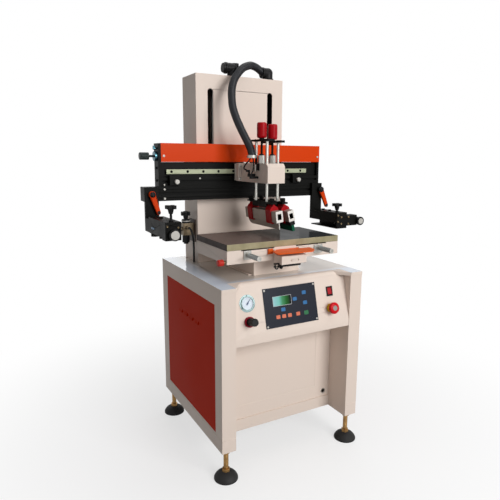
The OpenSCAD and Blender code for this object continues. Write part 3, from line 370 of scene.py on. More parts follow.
def place_axes(t):
    """The sockets X, Y and Z of the place on the object."""
    coord = t.nodes.new("ShaderNodeTexCoord")
    split = t.nodes.new("ShaderNodeSeparateXYZ")
    t.links.new(coord.outputs["Object"], split.inputs[0])
    return split.outputs


def ramp(t, value, start, end, low=0.0, high=1.0, shape="SMOOTHSTEP"):
    """A value that goes from low to high between start and end."""
    node = t.nodes.new("ShaderNodeMapRange")
    node.interpolation_type = shape
    for label, number in (("From Min", start), ("From Max", end), ("To Min", low), ("To Max", high)):
        node.inputs[label].default_value = number
    t.links.new(value, node.inputs["Value"])
    return node.outputs["Result"]


def tinted(t, label, colour, amount):
    """Mixes another tone into a material's own colour."""
    shader = t.nodes["Principled BSDF"]
    tone = t.nodes.new("ShaderNodeMix")
    tone.name = label
    tone.data_type = "RGBA"
    tone.inputs["B"].default_value = colour
    before = shader.inputs["Base Color"].links[0].from_socket
    t.links.new(amount, tone.inputs["Factor"])
    t.links.new(before, tone.inputs["A"])
    t.links.new(tone.outputs["Result"], shader.inputs["Base Color"])


def seen_ray(t, *kinds):
    """One for rays of the kinds named, such as the camera's, and zero for the rest."""
    path = t.nodes.new("ShaderNodeLightPath")
    value = path.outputs[kinds[0]]
    for kind in kinds[1:]:
        value = math_node(t, "MAXIMUM", value, path.outputs[kind])
    return value


def knurled_material(name, tone, axis_x):
    """Metal with a crossed knurl round an adjuster, whose axis runs along Y."""
    lines_around, pitch = 40, 0.0016
    m = finish_material(name, tone, rough=(0.3, 0.42), metallic=1.0, relief=0.03)
    t = m.node_tree
    if "Knurl relief" in t.nodes:
        return m
    at = place_axes(t)
    dx = math_node(t, "SUBTRACT", at["X"], axis_x)
    dz = math_node(t, "SUBTRACT", at["Z"], ADJUSTER_Z)
    around = math_node(t, "MULTIPLY", math_node(t, "ARCTAN2", dz, dx), lines_around / 2)
    along = math_node(t, "MULTIPLY", at["Y"], math.pi / pitch)
    one, two = (
        math_node(t, "ABSOLUTE", math_node(t, "SINE", math_node(t, op, around, along)))
        for op in ("ADD", "SUBTRACT")
    )
    bump = t.nodes.new("ShaderNodeBump")
    bump.name = "Knurl relief"
    bump.inputs["Strength"].default_value = 0.7
    bump.inputs["Distance"].default_value = 0.0006
    t.links.new(math_node(t, "MINIMUM", one, two), bump.inputs["Height"])
    t.links.new(bump.outputs["Normal"], t.nodes["Principled BSDF"].inputs["Normal"])
    return m


def cream():
    return finish_material(
        "Cream powder coat", COLOURS.cream, darker(COLOURS.cream, 0.955),
        patch=3.0, grain=1400, rough=(0.36, 0.46), relief=0.04, shine=0.18,
    )


def gloss_top():
    """Worktop coat, with a painted cool reflection towards its left and front edges."""
    m = finish_material(
        "Glossy worktop", COLOURS.worktop, darker(COLOURS.worktop, 0.93),
        patch=4.0, grain=1100, rough=(0.1, 0.18), relief=0.02, coat=0.25, coat_rough=0.05, shine=0.4,
    )
    t = m.node_tree
    if "Edge tone" not in t.nodes:
        # Painted reflection: a cool whitish tint grows towards the worktop's left and front edges
        at = place_axes(t)
        left = ramp(t, at["X"], -0.19, -0.235)
        front = ramp(t, at["Y"], -0.17, -0.215)
        tinted(t, "Edge tone", srgb(216, 226, 240), math_node(t, "MAXIMUM", left, front))
    return m


def orange():
    return finish_material(
        "Orange enamel", COLOURS.orange, COLOURS.orange_deep, patch=2.2, grain=1200,
        rough=(0.3, 0.4), relief=0.03, shine=0.07,
    )


def side_red():
    return finish_material(
        "Red side enamel", COLOURS.side_red, darker(COLOURS.side_red, 0.85),
        patch=2.0, grain=1200, rough=(0.34, 0.44), relief=0.03, shine=0.01,
    )


def black_anodised():
    return finish_material(
        "Black anodising", (9, 9, 8), (15, 15, 13), patch=14, grain=2200,
        rough=(0.34, 0.48), relief=0.06, stretch=(0.2, 1, 1), shine=0.06,
    )


def black_plastic():
    return finish_material(
        "Moulded black", (13, 13, 14), (21, 21, 22), patch=30, grain=2500,
        rough=(0.36, 0.5), relief=0.08, shine=0.14,
    )


def rubber():
    return finish_material(
        "Foot rubber", (26, 26, 27), (44, 43, 42), patch=20, grain=1800,
        rough=(0.6, 0.8), relief=0.15,
    )


def bright_steel():
    return finish_material(
        "Bright steel", (178, 176, 170), (166, 164, 158), patch=12, grain=1600,
        rough=(0.34, 0.4), relief=0.002, metallic=1.0,
    )


def ground_rail():
    return finish_material(
        "Ground rail", (186, 190, 160), (160, 166, 138), patch=30, grain=1600,
        rough=(0.3, 0.42), relief=0.02, stretch=(0.05, 1, 1), metallic=0.1, shine=0.2,
    )


def alloy():
    return finish_material(
        "Satin alloy", (176, 174, 168), (156, 154, 149), patch=25, grain=1500,
        rough=(0.34, 0.44), relief=0.02, metallic=0.85,
    )


def bronze():
    return finish_material(
        "Plated stud", (176, 138, 84), (120, 90, 58), patch=60, grain=1500,
        rough=(0.3, 0.45), metallic=0.9,
    )


def brass():
    return finish_material(
        "Aged brass body", (140, 124, 100), (66, 57, 44), patch=40,
        rough=(0.36, 0.52), relief=0.08, metallic=0.6, shine=0.2,
    )


def red_cap():
    return finish_material(
        "Red anodising", (178, 8, 20), (142, 4, 14), patch=18, grain=1400,
        rough=(0.3, 0.42), relief=0.04, shine=0.1,
    )


def signal_red():
    return finish_material(
        "Signal red", (208, 10, 24), (184, 8, 20), patch=20, grain=1500,
        rough=(0.27, 0.36), relief=0.02, shine=0.12,
    )


def signal_yellow():
    return finish_material(
        "Signal yellow", (226, 180, 30), (206, 160, 24), patch=20, grain=1500,
        rough=(0.3, 0.4), relief=0.02,
    )


def green_urethane():
    return finish_material(
        "Green urethane", (8, 92, 64), (6, 76, 54), patch=30, grain=700,
        rough=(0.34, 0.46), relief=0.03, shine=0.1,
    )


def flood_grey():
    return finish_material(
        "Grey profile", (164, 152, 142), (136, 126, 119), patch=12, grain=1500,
        rough=(0.35, 0.5), stretch=(1, 0.1, 1), metallic=0.35,
    )


def white_plate():
    return finish_material(
        "White plate", (232, 230, 224), (220, 218, 212), patch=20, grain=1500, relief=0.03,
    )


def table_dark():
    """Dark polished plate with a painted reflection: slate at the right and warmer towards its left end."""
    m = finish_material(
        "Polished dark table", (120, 103, 95), (106, 91, 86), patch=5, grain=1200,
        rough=(0.05, 0.1), relief=0.008, shine=0.002,
    )
    t = m.node_tree
    if "Slate end" not in t.nodes:
        # Painted reflection: the tone turns from warm at the left to slate at the right, like the
        # surroundings the plate mirrors
        tinted(t, "Slate end", srgb(52, 54, 55), ramp(t, place_axes(t)["X"], -0.07, 0.03))
    return m


def table_edge():
    return finish_material(
        "Mottled table edge", (176, 164, 132), (122, 116, 84), patch=34, grain=500,
        rough=(0.4, 0.6), relief=0.12,
    )


def cut_edge():
    return finish_material(
        "Dark cut edge", (70, 60, 56), (54, 47, 45), patch=30,
        rough=(0.5, 0.65), relief=0.1, shine=0.1,
    )


def screw_bronze():
    return finish_material(
        "Bronzed screws", (128, 110, 82), (96, 82, 60), patch=60, grain=1500,
        rough=(0.3, 0.42), relief=0.03, metallic=0.6, shine=0.2,
    )


def satin_disc():
    return finish_material(
        "Satin disc", (192, 189, 182), (172, 169, 163), patch=60, grain=1500,
        rough=(0.3, 0.42), relief=0.02, metallic=0.15, shine=0.2,
    )


def lever_orange():
    return finish_material(
        "Lever orange", (226, 98, 34), (214, 84, 26), patch=8, grain=1200,
        rough=(0.32, 0.42), relief=0.03, shine=0.1,
    )


def overlay_film():
    return finish_material(
        "Slate film", (34, 37, 48), (29, 32, 42), patch=10, grain=2600,
        rough=(0.32, 0.4), relief=0.04, shine=0.1,
    )


def display_material():
    """Backlit window, green in the middle, with a painted reflection that makes it whitish at the left, and
    dark at the right end.
    """
    m = finish_material("Display window", (60, 120, 70), rough=(0.2, 0.3), relief=0.0, shine=0.06)
    t = m.node_tree
    if "Window tones" in t.nodes:
        return m
    # Painted reflection: the whitish left end of these tones stands in for reflected light
    tones = t.nodes.new("ShaderNodeValToRGB")
    tones.name = "Window tones"
    steps = (
        (0.0, (150, 196, 200)), (0.32, (120, 190, 180)), (0.5, (70, 140, 96)),
        (0.72, (34, 96, 40)), (0.86, (22, 66, 26)), (0.94, (12, 20, 16)),
    )
    while len(tones.color_ramp.elements) < len(steps):
        tones.color_ramp.elements.new(0.5)
    for element, (position, colour) in zip(tones.color_ramp.elements, steps):
        element.position = position
        element.color = srgb(*colour)
    along = ramp(t, place_axes(t)["X"], -0.078, -0.008, shape="LINEAR")
    t.links.new(along, tones.inputs["Fac"])
    t.links.new(tones.outputs["Color"], t.nodes["Principled BSDF"].inputs["Base Color"])
    return m


def key_colour(name, r, g, b):
    return finish_material(
        name, (r, g, b), patch=20, grain=2600, rough=(0.3, 0.4), relief=0.02
    )


# Pieces from the frame, with rounded edges and their finish


def worked(node, width, rules, segments=2, cuts=()):
    """A copy of a frame node with rounded edges, painted by its rules.

    rules: one material, or a list of (test(centre, normal) or None, material).
    cuts: planes (point, normal) where faces part, so that each side can take its own material.
    """
    src = NODES[node]
    obj = src.copy()
    obj.data = src.data.copy()
    obj.parent = None
    for key in list(obj.keys()):
        del obj[key]
    bpy.context.scene.collection.objects.link(obj)
    obj.name = "finished_" + node
    obj.data.name = obj.name
    obj.matrix_world = Matrix.Identity(4)
    only(obj)
    bpy.ops.object.mode_set(mode="EDIT")
    bpy.ops.mesh.select_all(action="SELECT")
    bpy.ops.mesh.remove_doubles(threshold=0.00001)
    for point, normal in cuts:
        bpy.ops.mesh.select_all(action="SELECT")
        bpy.ops.mesh.bisect(plane_co=point, plane_no=normal)
    bpy.ops.object.mode_set(mode="OBJECT")
    if width:
        bevelled(obj, width, segments)
    flat_faces(obj)
    paint(obj, rules)
    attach(obj, src["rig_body"])
    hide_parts(node)


def paint(obj, rules):
    """Gives each face the first material whose test it passes. rules may be one material."""
    if not isinstance(rules, list):
        rules = [(None, rules)]
    mesh = obj.data
    mesh.materials.clear()
    for _, material in rules:
        mesh.materials.append(material)
    for face in mesh.polygons:
        for i, (test, _) in enumerate(rules):
            if test is None or test(face.center, face.normal):
                face.material_index = i
                break


# Settings that a user would change


class PrinterSizes(bpy.types.PropertyGroup):
    edge: bpy.props.FloatProperty(
        name="Sheet edge radius", description="Rounding on folded sheet edges",
        default=0.0012, min=0.0002, max=0.004, unit="LENGTH",
    )
    fine_edge: bpy.props.FloatProperty(
        name="Machined edge radius", description="Rounding on machined edges",
        default=0.0005, min=0.0001, max=0.002, unit="LENGTH",
    )
    rib_pitch: bpy.props.FloatProperty(
        name="Hose rib pitch", description="Distance between two ribs of the cable hose",
        default=0.0042, min=0.002, max=0.01, unit="LENGTH",
    )
    rib_depth: bpy.props.FloatProperty(
        name="Hose rib depth", description="How far the ribs of the cable hose stand out",
        default=0.0006, min=0.0, max=0.002, unit="LENGTH",
    )


class PrinterColours(bpy.types.PropertyGroup):
    cream: bpy.props.FloatVectorProperty(
        name="Cabinet cream", description="Powder coat of cabinet and tower",
        default=srgb(226, 210, 198), size=4, subtype="COLOR", min=0, max=1,
    )
    worktop: bpy.props.FloatVectorProperty(
        name="Worktop", description="Glossy coat of the cabinet top",
        default=srgb(210, 200, 190), size=4, subtype="COLOR", min=0, max=1,
    )
    orange: bpy.props.FloatVectorProperty(
        name="Cover orange", description="Enamel of the head cover and levers",
        default=srgb(220, 70, 6), size=4, subtype="COLOR", min=0, max=1,
    )
    orange_deep: bpy.props.FloatVectorProperty(
        name="Cover orange, deep", description="Second tone of the cover enamel",
        default=srgb(206, 56, 4), size=4, subtype="COLOR", min=0, max=1,
    )
    side_red: bpy.props.FloatVectorProperty(
        name="Side panel red", description="Enamel of the cabinet's side panels",
        default=srgb(206, 44, 8), size=4, subtype="COLOR", min=0, max=1,
    )


SIZES = None
COLOURS = None

# Cords

HOSE_RADIUS = 0.014
HOSE_POINTS = [
    (0.108, 0.150, 1.3616), (0.101, 0.1494, 1.364), (0.076, 0.143, 1.376), (0.047, 0.131, 1.380),
    (0.024, 0.118, 1.375), (-0.004, 0.105, 1.363), (-0.032, 0.090, 1.340), (-0.056, 0.075, 1.313),
    (-0.072, 0.060, 1.280), (-0.080, 0.045, 1.247), (-0.083, 0.030, 1.212), (-0.078, 0.012, 1.174),
    (-0.070, -0.006, 1.139), (-0.060, -0.024, 1.105), (-0.053, -0.040, 1.078),
    (-0.051, -0.0494, 1.056), HOSE_END,
]
# Counted in the hose's points: where its two lengths meet, and a point further along the lower one
HOSE_SPLIT = 8
HOSE_BEND = 12
# Steps of the smooth curve from one point to the next
HOSE_STEPS = 6
AIR_RADIUS = 0.0038
AIR_STEPS = 8
AIR_POINTS = [
    (-0.212, 0.1396, 0.783), (-0.212, 0.130, 0.782), (-0.2117, 0.1205, 0.7775),
    (-0.211, 0.113, 0.769), (-0.210, 0.109, 0.757), (-0.2084, 0.1085, 0.744),
    (-0.206, 0.1115, 0.729), (-0.2025, 0.1185, 0.712), (-0.1985, 0.1285, 0.695),
    (-0.1945, 0.1385, 0.679), (-0.1914, 0.1464, 0.666), (-0.190, 0.1504, 0.655),
    (-0.190, 0.151, 0.646), (-0.190, 0.151, 0.636),
]


def curve_points(points, steps):
    """The smooth curve through the points, as the frame draws it."""
    pts = [Vector(p) for p in points]

    def at(i):
        return pts[max(0, min(len(pts) - 1, i))]

    out = []
    for i in range(len(pts) - 1):
        a, b, c, d = at(i - 1), at(i), at(i + 1), at(i + 2)
        for j in range(steps):
            t = j / steps
            out.append(
                0.5 * (2 * b + (c - a) * t + (2 * a - 5 * b + 4 * c - d) * t * t
                       + (3 * b - a - 3 * c + d) * t ** 3)
            )
    out.append(pts[-1])
    return out


def line_length(points):
    """Length of a line through its points."""
    return sum((b - a).length for a, b in zip(points, points[1:]))


def walk(points, step):
    """Points evenly spaced along a line."""
    total = line_length(points)
    count = max(2, round(total / step))
    out, run = [points[0]], 0.0
    spacing = total / count
    target = spacing
    for a, b in zip(points, points[1:]):
        seg = (b - a).length
        while run + seg >= target - 1e-9 and len(out) < count:
            out.append(a + (b - a) * ((target - run) / seg))
            target += spacing
        run += seg
    out.append(points[-1])
    return out


def ribbed_tube(name, points, radius, pitch, depth, sides=20):
    """A tube along a line with a rib every pitch."""
    line = walk(points, pitch / 4)
    mesh = bmesh.new()
    rings = []
    ref = Vector((0.3, 1.0, 0.1)).normalized()
    for i, p in enumerate(line):
        t = (line[min(i + 1, len(line) - 1)] - line[max(i - 1, 0)]).normalized()
        a = t.cross(ref).normalized()
        b = t.cross(a)
        r = radius + depth * (0.0 if i in (0, len(line) - 1) else math.sin(i * math.pi / 2))
        turns = [k * math.tau / sides for k in range(sides)]
        rings.append([mesh.verts.new(p + r * (math.cos(w) * a + math.sin(w) * b)) for w in turns])
    for lo, hi in zip(rings, rings[1:]):
        for k in range(sides):
            mesh.faces.new((lo[k], lo[(k + 1) % sides], hi[(k + 1) % sides], hi[k]))
    mesh.faces.new(list(reversed(rings[0])))
    mesh.faces.new(rings[-1])
    bmesh.ops.recalc_face_normals(mesh, faces=mesh.faces)
    data = bpy.data.meshes.new(name)
    mesh.to_mesh(data)
    mesh.free()
    obj = bpy.data.objects.new(name, data)
    bpy.context.scene.collection.objects.link(obj)
    smooth(obj, 80)
    return obj, line


class PRINTER_OT_hoses(bpy.types.Operator):
    """Cable hose in two lengths, and the air hose"""

    bl_idname = "printer.hoses"
    bl_label = "Hoses"

    def execute(self, context):
        black = finish_material(
            "Hose nylon", (14, 15, 19), (22, 24, 30), patch=12, grain=1400,
            rough=(0.32, 0.44),
        )
        line = curve_points(HOSE_POINTS, HOSE_STEPS)
        split, bend = HOSE_SPLIT * HOSE_STEPS, HOSE_BEND * HOSE_STEPS
        core = HOSE_RADIUS - SIZES.rib_depth
        for name, part, last, bodies in (
            ("cable_hose_upper", line[: split + 1], split - 2, ("machine", "head")),
            ("cable_hose_lower", line[split:], bend, ("head", "carriage")),
        ):
            obj, path = ribbed_tube(name, part, core, SIZES.rib_pitch, SIZES.rib_depth)
            paint(obj, black)
            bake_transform(obj)
            if name == "cable_hose_upper":
                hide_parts("conduit_hose")
        line = curve_points(AIR_POINTS, AIR_STEPS)
        obj, path = ribbed_tube("air_line", line, AIR_RADIUS, 0.004, 0.0, sides=14)
        paint(obj, black_plastic())
        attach(obj, "machine")
        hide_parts("air_hose")
        return {"FINISHED"}


class PRINTER_OT_cabinet(bpy.types.Operator):
    """Cabinet frame, worktop, console, panels and feet"""

    bl_idname = "printer.cabinet"
    bl_label = "Cabinet"

    def execute(self, context):
        worked("cabinet_frame", SIZES.fine_edge, cream())
        worked("cabinet_top", SIZES.edge, [
            (lambda c, n: n.z > 0.9 and c.z > WORKTOP_Z, gloss_top()), (None, cream()),
        ])
        worked("console_panel", SIZES.fine_edge, cream())
        worked("recess_panel", SIZES.fine_edge, [
            (lambda c, n: (c - LOCK).length < LOCK_RADIUS and c.y < LOCK.y + 0.0005, bright_steel()),
            (None, cream()),
        ])
        worked("side_panels", SIZES.fine_edge, side_red())

        def inlet(c, n):
            return -0.193 < c.x < -0.137 and 0.2 < c.z < 0.26

        def cover_screw(c, n):
            return abs(abs(c.x) - 0.168) < 0.005 and c.y > 0.2552 and c.z > 0.66

        worked("rear_covers", SIZES.fine_edge, [
            (inlet, black_plastic()), (cover_screw, bright_steel()), (None, cream()),
        ])
        worked("levelling_feet", SIZES.fine_edge, [
            (lambda c, n: c.z > PAD_TOP_Z, bronze()), (None, rubber()),
        ])
        return {"FINISHED"}


class PRINTER_OT_tower(bpy.types.Operator):
    """Tower shell, its guides, the elbows on top and the air unit"""

    bl_idname = "printer.tower"
    bl_label = "Tower"

    def execute(self, context):
        dark = finish_material("Dark inside", (24, 22, 22), rough=(0.7, 0.8))

        def inside(c, n):
            return 0.1285 < c.y < 0.2549 and abs(c.x) < 0.1805 and c.z < TOWER_TOP - 0.0015

        worked("tower_shell", SIZES.edge, [(inside, dark), (None, cream())])
        worked("lift_guides", SIZES.fine_edge, bright_steel())
        worked("conduit_elbows", SIZES.edge, black_plastic())
        # Painted shade: the air unit's mounting bracket is a dark brown standing in for the shade it sits
        # in
        painted_shade_bracket = finish_material(
            "Umber bracket", (88, 72, 64), (66, 54, 48), patch=20, grain=1400,
            rough=(0.4, 0.5), relief=0.03, shine=0.15,
        )
        bracket_x, body_low, body_high, ring_low, ring_high = -0.1855, 0.7519, 0.7982, 0.8039, 0.8071
        worked("air_unit", SIZES.fine_edge, [
            (lambda c, n: c.x > bracket_x, painted_shade_bracket),
            (lambda c, n: ring_low < c.z < ring_high, satin_disc()),
            (lambda c, n: c.z > body_high or c.z < body_low, black_plastic()),
            (None, brass()),
        ])
        worked("air_unit_knob", SIZES.fine_edge, black_plastic())
        return {"FINISHED"}


class PRINTER_OT_console(bpy.types.Operator):
    """Gauge, regulator, control plate, switch and emergency stop"""

    bl_idname = "printer.console"
    bl_label = "Console fittings"

    def execute(self, context):
        chrome = finish_material(
            "Polished bezel", (228, 230, 228), (210, 212, 210), patch=30, grain=1400,
            rough=(0.08, 0.16), relief=0.01, metallic=1.0,
        )
        dial = finish_material("Dial white", (226, 234, 242), (214, 224, 236), rough=(0.4, 0.5))
        centre = on_slope(*GAUGE_SPOT)

        def dial_face(c, n):
            out, radius = from_spot(c, centre)
            return radius < 0.0196 and 0.0021 < out < 0.0031

        def ring(c, n):
            return from_spot(c, centre)[0] > 0.0019

        def flange(c, n):
            return -0.0002 < from_spot(c, centre)[0] < 0.00202

        ring_grey = finish_material(
            "Grey green ring", (124, 142, 142), (96, 112, 112), patch=60, grain=1400,
            rough=(0.22, 0.34), relief=0.02, metallic=0.6,
        )
        worked("pressure_gauge", SMALL_EDGE, [
            (dial_face, dial), (ring, ring_grey), (flange, chrome), (None, black_plastic()),
        ])
        self.dial_marks(centre)
        needle_grey = finish_material("Needle grey", (84, 100, 132), rough=(0.4, 0.5), shine=0.1)
        worked("gauge_needle", 0, needle_grey)
        worked("regulator_knob", SIZES.fine_edge, black_plastic())
        ring_crimson = finish_material(
            "Crimson ring", (150, 10, 40), (120, 6, 30), patch=20, grain=1400,
            rough=(0.3, 0.42), relief=0.02, shine=0.1,
        )
        stop_centre = on_slope(*STOP_SPOT)

        def stop_plate(c, n):
            return (c - stop_centre).length < 0.034 and c.z < 0.557

        worked("panel_bezels", SIZES.fine_edge, [
            (lambda c, n: c.x < -0.1, ring_crimson), (stop_plate, signal_yellow()), (None, black_plastic()),
        ])
        rocker_red = finish_material(
            "Rocker red", (184, 10, 26), (150, 6, 20), patch=30, grain=1500,
            rough=(0.25, 0.35), relief=0.01, shine=0.2,
        )
        worked("power_rocker", SIZES.fine_edge, rocker_red)
        grey = finish_material("Cap insert grey", (150, 148, 142), rough=(0.4, 0.5))

        def insert(c, n):
            out, radius = from_spot(c, stop_centre)
            return out > 0.0265 and radius < 0.0088

        def stem(c, n):
            return from_spot(c, stop_centre)[0] < 0.0149

        worked("estop_button", SIZES.fine_edge, [
            (insert, grey), (stem, black_plastic()), (None, signal_red()),
        ])
        self.plate()
        return {"FINISHED"}

    def plate(self):
        """Control plate: display window, keys and corner screws, each in its own colour."""

        def near(x, s, w, h):
            def test(c, n):
                d = c - SLOPE_FOOT
                on_face = d.dot(SLOPE_OUT) > 0.00165
                return on_face and abs(c.x - x) < w / 2 and abs(d.dot(SLOPE_UP) - s) < h / 2

            return test

        blue = key_colour("Blue keys", 34, 104, 160)
        orange_key = key_colour("Orange keys", 214, 112, 80)
        green_key = key_colour("Green key", 30, 106, 62)
        glass = display_material()
        steel = satin_disc()
        key, screw, row_s = 0.018, 0.009, 0.049
        blue_spots = ((0.046, 0.1165), (0.007, 0.0995), (0.0465, 0.0825), (-0.042, 0.071))
        plate_x, plate_s = -0.0095, 0.081
        rules = [(near(*DISPLAY_SPOT, 0.072, 0.032), glass)]
        rules += [(near(x, s, key, key), blue) for x, s in blue_spots]
        rules += [(near(x, row_s, key, key), orange_key) for x in (-0.064, -0.0415, -0.019, 0.014)]
        rules += [(near(0.047, 0.0485, 0.02, 0.02), green_key)]
        for x in (plate_x - 0.097, plate_x + 0.097):
            rules += [(near(x, plate_s + s, screw, screw), steel) for s in (-0.059, 0.059)]
        rules += [(None, overlay_film())]
        worked("control_plate", THIN_EDGE, rules)
        self.display_rim()

    def display_rim(self):
        """Light rim round the display window, with its edges on the slope."""
        plastic = finish_material("Display rim", (196, 198, 200), (176, 178, 182), rough=(0.3, 0.4))
        half_w, half_h, bar, low, high = 0.035, 0.015, 0.0012, 0.0016, 0.003
        bars = []
        for x0, x1, s0, s1 in (
            (-half_w - bar, half_w + bar, -half_h - bar, -half_h),
            (-half_w - bar, half_w + bar, half_h, half_h + bar),
            (-half_w - bar, -half_w, -half_h, half_h),
            (half_w, half_w + bar, -half_h, half_h),
        ):
            bars.append(block("rim_bar", (x0, s0, low), (x1, s1, high)))
        obj = merged("display_rim", bars)
        obj.rotation_euler = SLOPE_TURN
        obj.location = on_slope(*DISPLAY_SPOT)
        settle(obj)
        bevelled(obj, THIN_EDGE, 1)
        flat_faces(obj)
        paint(obj, plastic)
        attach(obj, "machine")

    def dial_marks(self, centre):
        """Scale of the gauge: a mark every 13 degrees, each fifth one longer and wider."""
        ink = finish_material("Dial ink", (120, 136, 164), rough=(0.5, 0.6), shine=0.1)
        outer, thick, height = 0.017, 0.0002, 0.0027
        marks = []
        for i in range(21):
            turn = math.radians(-130 + i * 13)
            inner, wide = (0.0124, 0.0007) if i % 5 == 0 else (0.0142, 0.0004)
            middle = (inner + outer) / 2
            deselect()
            bpy.ops.mesh.primitive_cube_add(size=1)
            mark = bpy.context.object
            mark.scale = (wide, outer - inner, thick)
            mark.location = (middle * math.sin(turn), middle * math.cos(turn), height)
            mark.rotation_euler = (0, 0, -turn)
            marks.append(settle(mark))
        obj = merged("dial_marks", marks)
        obj.rotation_euler = SLOPE_TURN
        obj.location = centre
        settle(obj)
        paint(obj, ink)
        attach(obj, "machine")


class PRINTER_OT_table(bpy.types.Operator):
    """Pedestal, cross slide, table top, adjusters and lever"""

    bl_idname = "printer.table"
    bl_label = "Table"

    def execute(self, context):
        worked("table_plate", PLATE_EDGE, [
            (lambda c, n: n.y < -0.5 and c.y < TABLE_FRONT + 0.001, table_edge()),
            (lambda c, n: c.y < TABLE_FRONT + 0.0012 and n.z > 0.3, table_edge()),
            (lambda c, n: abs(n.x) > 0.5 or n.y > 0.5 or c.z < TABLE_TOP - 0.001, cut_edge()),
            (None, table_dark()),
        ])
        worked("table_pedestal", SIZES.edge, cream())
        worked("table_box", SIZES.fine_edge, cream())

        def hook(c, n):
            return c.z < 0.7005 or (c.x < -0.0488 and c.z < 0.7045)

        def catch(c, n):
            return -0.0725 < c.x < -0.0515 and c.z > 0.729

        def base_plate(c, n):
            return c.x < -0.13 or c.x > 0.11

        worked("table_bracket", SIZES.fine_edge, [
            (hook, black_plastic()), (catch, lever_orange()), (base_plate, alloy()), (None, cream()),
        ])
        knob_red = finish_material(
            "Side knob red", (196, 48, 34), (166, 34, 26), patch=30, grain=1500,
            rough=(0.35, 0.5), relief=0.04, shine=0.15,
        )
        worked("side_knob", 0.0014, [
            (lambda c, n: c.x > -0.2283, screw_bronze()), (None, knob_red),
        ], segments=3)
        for node, x in (("adjuster_left", -0.146), ("adjuster_right", 0.137)):
            worked(node, SMALL_EDGE, [
                (lambda c, n: n.y < -0.8 or c.y > -0.208, bright_steel()),
                (None, knurled_material("Knurled " + node, (150, 156, 158), x)),
            ])
        worked("table_lever", SIZES.fine_edge, lever_orange())
        return {"FINISHED"}


class PRINTER_OT_head(bpy.types.Operator):
    """Head frame, beam, cover, rail, stops and stroke cylinder"""

    bl_idname = "printer.head"
    bl_label = "Head"

    def execute(self, context):

        def cover_screw(c, n):
            return c.y < 0.07855 and abs(abs(c.x) - 0.323) < 0.006

        def plate_screw(c, n):
            near_x = min(abs(c.x + 0.19), abs(c.x + 0.323)) < 0.0035
            return near_x and c.y < 0.07995 and 0.944 < c.z < 0.972

        worked("head_frame", THIN_EDGE, [
            (cover_screw, satin_disc()), (plate_screw, satin_disc()), (None, black_anodised()),
        ])
        worked("head_beam", SIZES.fine_edge, black_anodised())
        worked("top_cover", SIZES.edge, orange())
        worked("guide_rail", SIZES.fine_edge, [
            (lambda c, n: c.y > 0.0818 and abs(c.z - 0.992) < 0.0048, black_anodised()),
            (None, ground_rail()),
        ])
        worked("lift_bracket", SIZES.fine_edge, [
            (lambda c, n: abs(c.x) < 0.0205 and c.z < 0.9578, bright_steel()),
            (None, black_anodised()),
        ])
        teal = finish_material(
            "Blued cap", (84, 126, 138), (46, 74, 84), patch=30, grain=1200,
            rough=(0.16, 0.28), relief=0.02, metallic=0.9,
        )
        worked("stroke_cylinder", SIZES.fine_edge, [
            (lambda c, n: c.x < -0.3436, teal), (None, alloy()),
        ])
        dark_green = finish_material(
            "Dark green knob", (22, 38, 36), (14, 24, 24), patch=30, grain=2000,
            rough=(0.35, 0.5), shine=0.2,
        )
        worked("speed_knob", SIZES.fine_edge, dark_green)
        for node in ("stop_left", "stop_right"):
            worked(node, SIZES.fine_edge, [
                (lambda c, n: c.y < 0.0629, satin_disc()), (None, black_anodised()),
            ])
        return {"FINISHED"}


class PRINTER_OT_carriage(bpy.types.Operator):
    """Carriage plate and block, cylinders, hose clamp and signal tubes"""

    bl_idname = "printer.carriage"
    bl_label = "Carriage"

    def execute(self, context):
        # Painted light: the carriage plate's cream is lighter than the cabinet's, standing in for light
        # where the carriage block shades it
        painted_light_cream = finish_material(
            "Carriage cream", (240, 228, 218), (228, 216, 206), patch=3.0, grain=1400,
            rough=(0.36, 0.46), relief=0.04, shine=0.2,
        )
        worked("carriage_plate", SIZES.fine_edge, [
            (lambda c, n: c.y > 0.0788, alloy()), (None, painted_light_cream),
        ])

        def block_screw(c, n):
            return 0.0458 < c.y < 0.0479 and min(abs(c.x + 0.044), abs(c.x - 0.047)) < 0.004

        worked("carriage_block", SIZES.edge, [(block_screw, bright_steel()), (None, cream())])
        worked("unit_cylinders", SIZES.fine_edge, [
            (lambda c, n: c.z > 1.0491, black_plastic()), (None, alloy()),
        ])

        def ring(c, n):
            return c.z > 1.0385 and (c - HOSE_END).xy.length > 0.0124

        worked("hose_clamp", THIN_EDGE, [(ring, alloy()), (None, black_plastic())])
        return {"FINISHED"}


